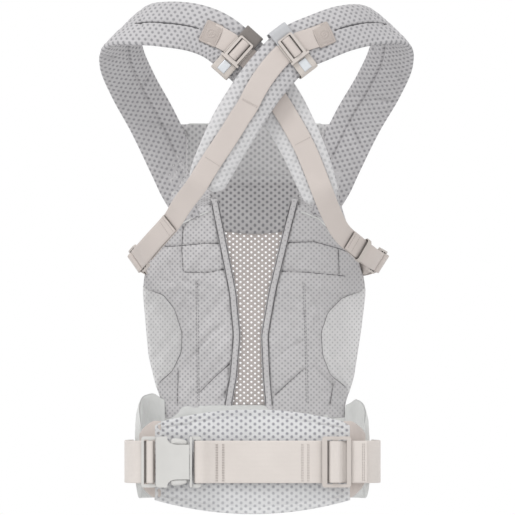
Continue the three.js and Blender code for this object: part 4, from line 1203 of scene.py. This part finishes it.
def make_slider_parts(side, paint):
    """The elastic band under a slider, the webbing over its bar, and the reflective patch."""
    place = frame_on(STRAP[side], SLIDER_U[side])
    p, t, n, w = place
    body = f"strap_slider_{side}"
    arm = SIGN[side] * -1
    above = SLIDER_LIFT - 1.0
    upper = paint["dark_elastic" if side == "left" else "grey_elastic"]
    ring_band(place, f"slider_band_{side}_elastic", PAD_HALF + 3.7, -PAD_THICK / 2 - 2.8, above, 24,
              paint["elastic"], body, f"slider_band_{side}", far=(-arm, 14, upper))
    rise = [(-6.2, SLIDER_LIFT - 1.2), (-5.0, SLIDER_LIFT + 1.5), (-3.4, SLIDER_LIFT + 3.9)]
    turn = rise + [(0, SLIDER_LIFT + 4.6)] + [(-a, b) for a, b in rise[::-1]]
    points = np.array(beside(p - w * arm * SLIDER_ACROSS, t, n, turn))
    band = bent_band(points, w, 0.6)
    over = flat_band(f"slider_turn_{side}", band, STRAP_WEBBING, paint["webbing"], thick=1.2)
    done(over, "webbing", body=body)
    q = np.linspace(-1, 1, 13)
    x, y = np.meshgrid(q * 6.9 + arm * 22.0, q * 5.2, indexing="ij")
    edge_fall = 0.35 * np.minimum(1, 4 * (1 - np.maximum(np.abs(q[:, None]), np.abs(q))))
    base = p + w * x[..., None] + t * y[..., None]
    outer = base + n * (above + 1.0 + edge_fall)[..., None]
    patch = slab(f"reflective_patch_{side}", outer, base + n * (above + 0.45), np.stack([x, y], -1),
                 paint["reflective"])
    done(patch, "reflective", f"reflective_strip_{side}", body=body)


def make_label(side, paint):
    """A rubberised tab with a raised border and a plain raised ring."""
    p, t, n, w = frame_on(STRAP[side], LABEL_U[side])
    half_x, half_y, corner_radius = 13.6, 11.0, 2
    q = np.linspace(-1, 1, 61)
    x, y = np.meshgrid(q * half_x, q * half_y, indexing="ij")
    to_edge = np.minimum(half_x - np.abs(x), half_y - np.abs(y))
    past_x, past_y = (np.maximum(np.abs(value) - (half - corner_radius), 0)
                      for value, half in ((x, half_x), (y, half_y)))
    corner = np.hypot(past_x, past_y)
    shrink = np.where(corner > corner_radius, corner_radius / np.maximum(corner, 1e-6), 1)
    radius = np.hypot(x, y)
    height = 1.3 - 0.55 * groove(to_edge - 2.4, 0.55) - 0.4 * groove(to_edge - 4.2, 0.4)
    height = height + 0.7 * groove(radius - 4.6, 0.75) + 0.6 * groove(radius - 1.4, 0.8)
    height = height * (0.4 + 0.6 * smooth(to_edge, 0, 0.7))
    lift = ON_STRAP + WEBBING / 2 + 0.1 - 0.010 * x ** 2
    place = p + t * 3.0 + (w * x[..., None] + t * y[..., None]) * (0.5 + 0.5 * shrink)[..., None]
    outer, inner = (place + n * rise[..., None] for rise in (lift + height, lift - 0.4))
    label = slab(f"label_tab_{side}_rubber", outer, inner, np.stack([x, y], -1), paint["label"])
    done(label, "label", f"label_tab_{side}")


def make_keeper(paint):
    """The elastic loop that holds the right tail."""
    p, t, n, w = frame_on(webbing_stations("left"), 0.9)
    ring_band((p + n * 5.35, t, n, w), "tail_keeper_right_elastic", 14.3, -3.3, 3.3, 8,
              paint["elastic"], "adjuster_right", "tail_keeper_right", thick=0.9)


# ---- waist ----
DOWN, UP = np.array([0, 0, -1.0]), np.array([0, 0, 1.0])


def flat_path(points):
    """Points (x, y) on the waist's level, z = 0."""
    return np.column_stack([np.asarray(points, float), np.zeros(len(points))])


def make_waistband(paint):
    """The padded band below the panel: spacer mesh outside, lining inside."""
    half = [(112, 60), (95, 70), (60, 81), (0, 88)]
    band = bent_band(flat_path(half + [(-x, y) for x, y in half[-2::-1]]), DOWN, 1.5)
    along = np.abs(band.s / band.s[-1] * 2 - 1)
    raised = smooth(along, 0.70, 0.92)
    top = -65.5 + 14 * raised + 8.5 * smooth(band.p[:, 0], 8, 30) * (1 - raised)
    bottom = 46 - 3 * smooth(along, 0.75, 1.0)
    thick = 8.0 * (0.5 + 0.5 * np.sqrt(smooth(1 - along, 0, 0.08)))

    def relief(s, across, face):
        wave = 0.7 * ripple(s, across, 5.0) - 1.2 * groove(across + 52, 1.3)
        return wave - 0.5 * dots(s, across, LUMBAR_CELL) if face > 0 else wave

    piece = band_slab("front_waistband", band, top, bottom, thick, 60, paint["lining"], relief)
    x, y, _ = read_points(piece.data.polygons, "center").T
    two_cloths(piece, paint["lumbar"], y > np.interp(np.abs(x), *zip(*half[::-1])) + 1.0)
    done(piece, "lining", *(f"front_waistband_{layer}" for layer in ("cover", "lining", "foam")), fill=0.6)


def make_wing(side, paint):
    """The soft wing beside the panel, from the waistband round the hip."""
    s = SIGN[side]
    reach = 136 if side == "left" else 130
    path = [(s * 108, 60), (s * 115, 56), (s * (reach - 6), 38), (s * reach, 5), (s * (reach - 1), -28)]
    band = bent_band(flat_path(path), DOWN if s < 0 else UP, 1.5)
    u = band.s / band.s[-1]
    highest = 80 if side == "left" else 73
    heights = [(0, highest - 8), (0.15, highest), (0.4, highest - 4), (0.7, highest - 14), (1, 45)]
    top = softened(heights, u, 0.04)
    bottom = softened([(0, -44), (0.75, -44), (1, -26)], u, 0.03)
    low, high = (-top, -bottom) if s < 0 else (bottom, top)
    thick = 5.0 * (0.35 + 0.65 * np.sqrt(smooth(1 - u, 0, 0.1)))

    def relief(along, across, face):
        folds = 0.9 * np.sin(along / 7.0 + across / 22.0) * smooth(np.abs(across), 10, 60)
        return folds + 0.7 * ripple(along, across, 6.0)

    wing = band_slab(f"waist_wing_{side}_cloth", band, low, high, thick, 60, paint["lining"], relief)
    done(wing, "lining", f"waist_wing_{side}", fill=0.4)


def make_side_tab(side, paint):
    """The flat tab between a wing and the lumbar pad."""
    s = SIGN[side]
    start = 119.5 if side == "left" else 113.5
    path = [(s * (start - 9), -80), (s * start, -79), (s * (start + 10), -66), (s * (start + 16), -48)]
    band = bent_band(flat_path(path), UP if s < 0 else DOWN, 1.2)
    u = np.clip((band.s / band.s[-1] - 0.2) / 0.8, 0, 1)[:, None]
    top, bottom = 48 - 15 * u, -42 + 18 * u
    low, high = (bottom, top) if s < 0 else (-top, -bottom)
    q = np.concatenate([[-1, -0.99], np.linspace(-0.97, 0.97, 29), [0.99, 1]])
    across = low + (high - low) * (q + 1) / 2
    half = np.broadcast_to(0.7 * np.array([0.4, 0.8] + [1.0] * 29 + [0.8, 0.4]), across.shape)
    tab = ribbon(f"side_tab_{side}_weave", band, across, half, half, paint["webbing"])
    done(tab, "webbing", f"side_tab_{side}")


def inflate(outer, inner, pressure, frames=20):
    """Fills a closed sheet with air and returns its two grids. Its rim is held."""
    rows, cols = outer.shape[:2]
    soft = slab("soft_shape", outer, inner, np.zeros((rows, cols, 2)), bpy.data.materials["foam"])
    size = rows * cols
    edge_index = np.concatenate([np.arange(cols), np.arange(cols) + size - cols,
                                 np.arange(rows) * cols, np.arange(rows) * cols + cols - 1])
    rim = soft.vertex_groups.new(name="rim")
    rim.add([int(k) for k in np.concatenate([edge_index, edge_index + size])], 1.0, "REPLACE")
    cloth = soft.modifiers.new("air", "CLOTH")
    cloth.settings.use_pressure = True
    cloth.settings.uniform_pressure_force = pressure
    cloth.settings.effector_weights.gravity = 0
    cloth.settings.vertex_group_mass = "rim"
    cloth.settings.quality = 5
    cloth.settings.tension_stiffness = 25
    cloth.settings.bending_stiffness = 3
    cloth.point_cache.frame_start, cloth.point_cache.frame_end = 1, frames
    scene = bpy.context.scene
    for number in range(1, frames + 1):
        scene.frame_set(number)
    shape = soft.evaluated_get(bpy.context.evaluated_depsgraph_get()).to_mesh()
    grids = read_points(shape.vertices, "co").reshape(2, rows, cols, 3)
    bpy.data.objects.remove(soft)
    scene.frame_set(1)
    return grids


def finer(grid, rows, cols):
    """The same grid of points with more rows and columns."""
    grid = spline_rows(grid, np.linspace(0, 1, rows)).transpose(1, 0, 2)
    return spline_rows(grid, np.linspace(0, 1, cols)).transpose(1, 0, 2)


def spline_rows(values, at):
    """Catmull-Rom along the first axis."""
    count = len(values)
    padded = np.concatenate([2 * values[:1] - values[1:2], values, 2 * values[-1:] - values[-2:-1]])
    place = at * (count - 1)
    k = np.minimum(place.astype(int), count - 2)
    f = (place - k)[:, None, None]
    a, b, c, d = (padded[k + step] for step in range(4))
    return b + 0.5 * f * (c - a + f * (2 * a - 5 * b + 4 * c - d + f * (3 * (b - c) + d - a)))


def make_lumbar_pad(paint):
    """The back pad: two faces of spacer mesh, blown up a little and stitched at the rim."""
    left, right, end, crown = -118.0, 112.0, 45.0, 78.0
    low, high = -88.2, -72.5     # y of the two faces

    def grid(y, puff):
        u = np.linspace(0, 1, 47)[:, None]
        q = np.linspace(-1, 1, 25)[None, :]
        x = left + (right - left) * u + 0 * q
        z = q * (2 * u * (1 - u) * (crown - end) + end)
        bulge = np.sqrt(np.clip(1 - q ** 4, 0, 1)) * np.sqrt(np.clip(1 - (2 * u - 1) ** 8, 0, 1))
        return np.stack([x, y + puff * bulge, z], axis=-1)

    outer, inner = grid(-80.3, -5.0), grid(-79.7, 4.5)
    outer, inner = inflate(outer, inner, 2.5)
    rows, cols = 178, 104
    outer, inner = finer(outer, rows, cols), finer(inner, rows, cols)
    outer[..., 1] = np.maximum(outer[..., 1], low + 0.35 * (outer[..., 1] - low))
    outer[..., 1] = np.clip(outer[..., 1], low - 1.5, None)
    inner[..., 1] = np.minimum(inner[..., 1], high + 1.0)
    x, z = outer[..., 0], outer[..., 2]
    from_end, from_side = (np.minimum(np.arange(count), np.arange(count)[::-1]) for count in (rows, cols))
    rim = np.minimum(from_end[:, None], from_side[None, :])
    strength = smooth(rim, 0, 5)
    dimple = 0.6 * dots(x, z, LUMBAR_CELL) + 0.9 * groove(rim - 4.0, 1.3)
    outer[..., 1] += strength * (dimple + 0.5 * ripple(x, z, 7.0))
    inner[..., 1] -= strength * 0.3 * dots(x, z, LUMBAR_CELL)
    pad = slab("lumbar_pad", outer, inner, np.stack([x, z], axis=-1), paint["lumbar"])
    done(pad, "lumbar_mesh", *(f"lumbar_pad_{layer}" for layer in ("cover", "lining", "foam")), fill=0.7)


# ---- belt ----
BELT_SEWN_Y, BELT_TAIL_Y, TURN = -91.2, -89.4, 3.7     # TURN: the belt's radius round a bar
SOCKET_BAR, PLUG_BAR = (-125, -121), (-69, -65.5)


def belt_rows(name, places, height, paint, body="root"):
    """Upright stitch rows on the belt at the given (x, y)."""
    z = np.linspace(-height / 2 + 1.5, height / 2 - 1.5, 30)
    parts = [stitches(f"{name}_{k}", np.column_stack([0 * z + x, 0 * z + y, z]), (0, -1, 0),
                      paint["taupe_thread"], pitch=3.0, length=2.3, radius=0.3)
             for k, (x, y) in enumerate(places)]
    done(joined(name, parts), "webbing", body=body)


def make_belt(paint):
    """The three belt lengths, with their turns round the bars and their sewing."""
    def weave(name, path, step, width=BELT_WIDTH):
        return flat_band(f"belt_webbing_{name}_weave", bent_band(flat_path(path), DOWN, step), width,
                         paint["belt"], cols=25)

    route = [(-144, 34), (-151, 0), (-153, -40), (-149, -70), (-141, -87), (-132, -93.6)]
    bar = SOCKET_BAR[1] - 1.6
    turn = arc_points(bar, BUCKLE_Y, TURN, 0.5, -0.5, 8)
    back = arc_points(SOCKET_BAR[0] + 1.6, BUCKLE_Y, TURN, -0.5, -1, 4)
    left = weave("left", route + [(bar - 3, BUCKLE_Y + TURN)] + turn + back, 1.2)
    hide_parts("belt_webbing_left")
    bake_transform(left)

    under = [(-44, BELT_TAIL_Y), (-54, BELT_TAIL_Y - 0.6), (-62, BUCKLE_Y + TURN + 0.3)]
    turn = arc_points(PLUG_BAR[0] + 1.6, BUCKLE_Y, TURN, 0.5, 1.5, 8)
    over = [(-62, BUCKLE_Y - TURN + 0.4), (-52, -94.5), (-42, BELT_SEWN_Y)]
    sewn = [(x, BELT_SEWN_Y) for x in (-10, 30, 70, 104)]
    around = [(118, -90.6), (133, -83), (145, -62), (147, -25), (143, 5), (138, 32)]
    done(weave("front", under + turn + over + sewn + around, 1.2), "webbing", "belt_webbing_front")
    face = BELT_SEWN_Y - WEBBING / 2 - 0.15
    rows = [(x, face) for x in (-38, -36.5, 55, 56.5, 62, 63.5)] + [(-45.5, -93.3), (-44, -92.9)]
    belt_rows("belt_stitch_front", rows, BELT_WIDTH, paint)

    under_y, over_y = -93.1, BUCKLE_Y - 1.2
    points = [(83, under_y), (86.5, under_y - 0.6), (88.4, -96.5), (90.5, over_y), (94.5, over_y - 0.2),
              (98.5, over_y), (101.5, -96.5), (104.5, under_y - 0.7), (110, under_y), (121, under_y - 0.1),
              (132, under_y + 0.2)]
    done(weave("tail", points, 0.8, BELT_WIDTH - 1), "webbing", "belt_webbing_tail", body="belt_tri_glide")
    belt_rows("belt_stitch_tail", [(128.5, -94.0), (126.5, -94.0)], BELT_WIDTH - 1, paint, "belt_tri_glide")


# ---- moulded parts ----
def finish_plastics(paint):
    """The moulded CAD parts, with soft edges (widths in millimetres) and one finish."""
    edges = {"buckle_socket": 0.9, "buckle_plug": 0.8, "buckle_prong_upper": 0.8, "buckle_prong_lower": 0.8,
             "belt_tri_glide": 0.7, "strap_slider_left": 0.6, "strap_slider_right": 0.6,
             "adjuster_left": 0.8, "adjuster_right": 0.8}
    for node, width in edges.items():
        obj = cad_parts[node]
        obj.data.materials.clear()
        obj.data.materials.append(paint["plastic" if node.startswith("buckle") else "taupe_plastic"])
        flatten = obj.modifiers.new("planar", "DECIMATE")
        flatten.decimate_type = "DISSOLVE"
        flatten.angle_limit = math.radians(1)
        soften = obj.modifiers.new("edges", "BEVEL")
        soften.width, soften.segments = width * MM, 3
        soften.limit_method, soften.angle_limit = "ANGLE", math.radians(35)
        soften.harden_normals = True


def plate_piece(name, outline, y_front, depth, material):
    """A thin raised plate on a face that looks to -Y, with a softened front edge."""
    centre = outline.mean(axis=0)
    count = len(outline)
    rings = [(outline, 0.0), (outline, depth * 0.7), (centre + (outline - centre) * 0.94, depth),
             (centre[None, :], depth), (centre[None, :], 0.0)]
    points = np.vstack([np.column_stack([r[:, 0], np.full(len(r), y_front - h), r[:, 1]]) for r, h in rings])
    k = np.arange(count)
    j = (k + 1) % count
    front, rear = np.full(count, 3 * count), np.full(count, 3 * count + 1)
    tris = []
    for a, b in ((0, count), (count, 2 * count)):
        tris += [(a + k, a + j, b + j), (a + k, b + j, b + k)]
    tris += [(2 * count + k, 2 * count + j, front), (j, k, rear)]
    faces = np.vstack([np.column_stack(tri) for tri in tris])
    return build_mesh(name, points, faces, points[:, ::2], material)


def make_buckle_details(paint):
    """The press-button faces in the socket's notches."""
    outline = [(-99, 21), (-97.5, 26.8), (-92, 27.8), (-84, 26.2), (-80.5, 24.6), (-80.5, 21), (-99, 21)]
    for s, body in ((1, "prong_upper"), (-1, "prong_lower")):
        corners = np.array([(x, s * z, 0) for x, z in outline])
        dense = spline(corners, np.linspace(0, 1, 43))[:-1, :2]
        button = plate_piece(f"{body}_button", dense[::-s], BUCKLE_Y - 3.5, 2.2, paint["plastic"])
        done(button, "plastic", body=body)


# ---- assembly ----
def make_carrier():
    """All pieces, in one fixed order."""
    paint = make_materials()
    make_panel(paint)
    make_window(paint)
    make_head_support(paint)
    for side in SIGN:
        for make in (make_strap, make_shoulder_webbing, make_adjuster_webbing, make_slider_parts, make_label,
                     make_wing, make_side_tab):
            make(side, paint)
    for make in (make_keeper, make_waistband, make_lumbar_pad, make_belt, finish_plastics,
                 make_buckle_details):
        make(paint)


make_studio()
make_carrier()
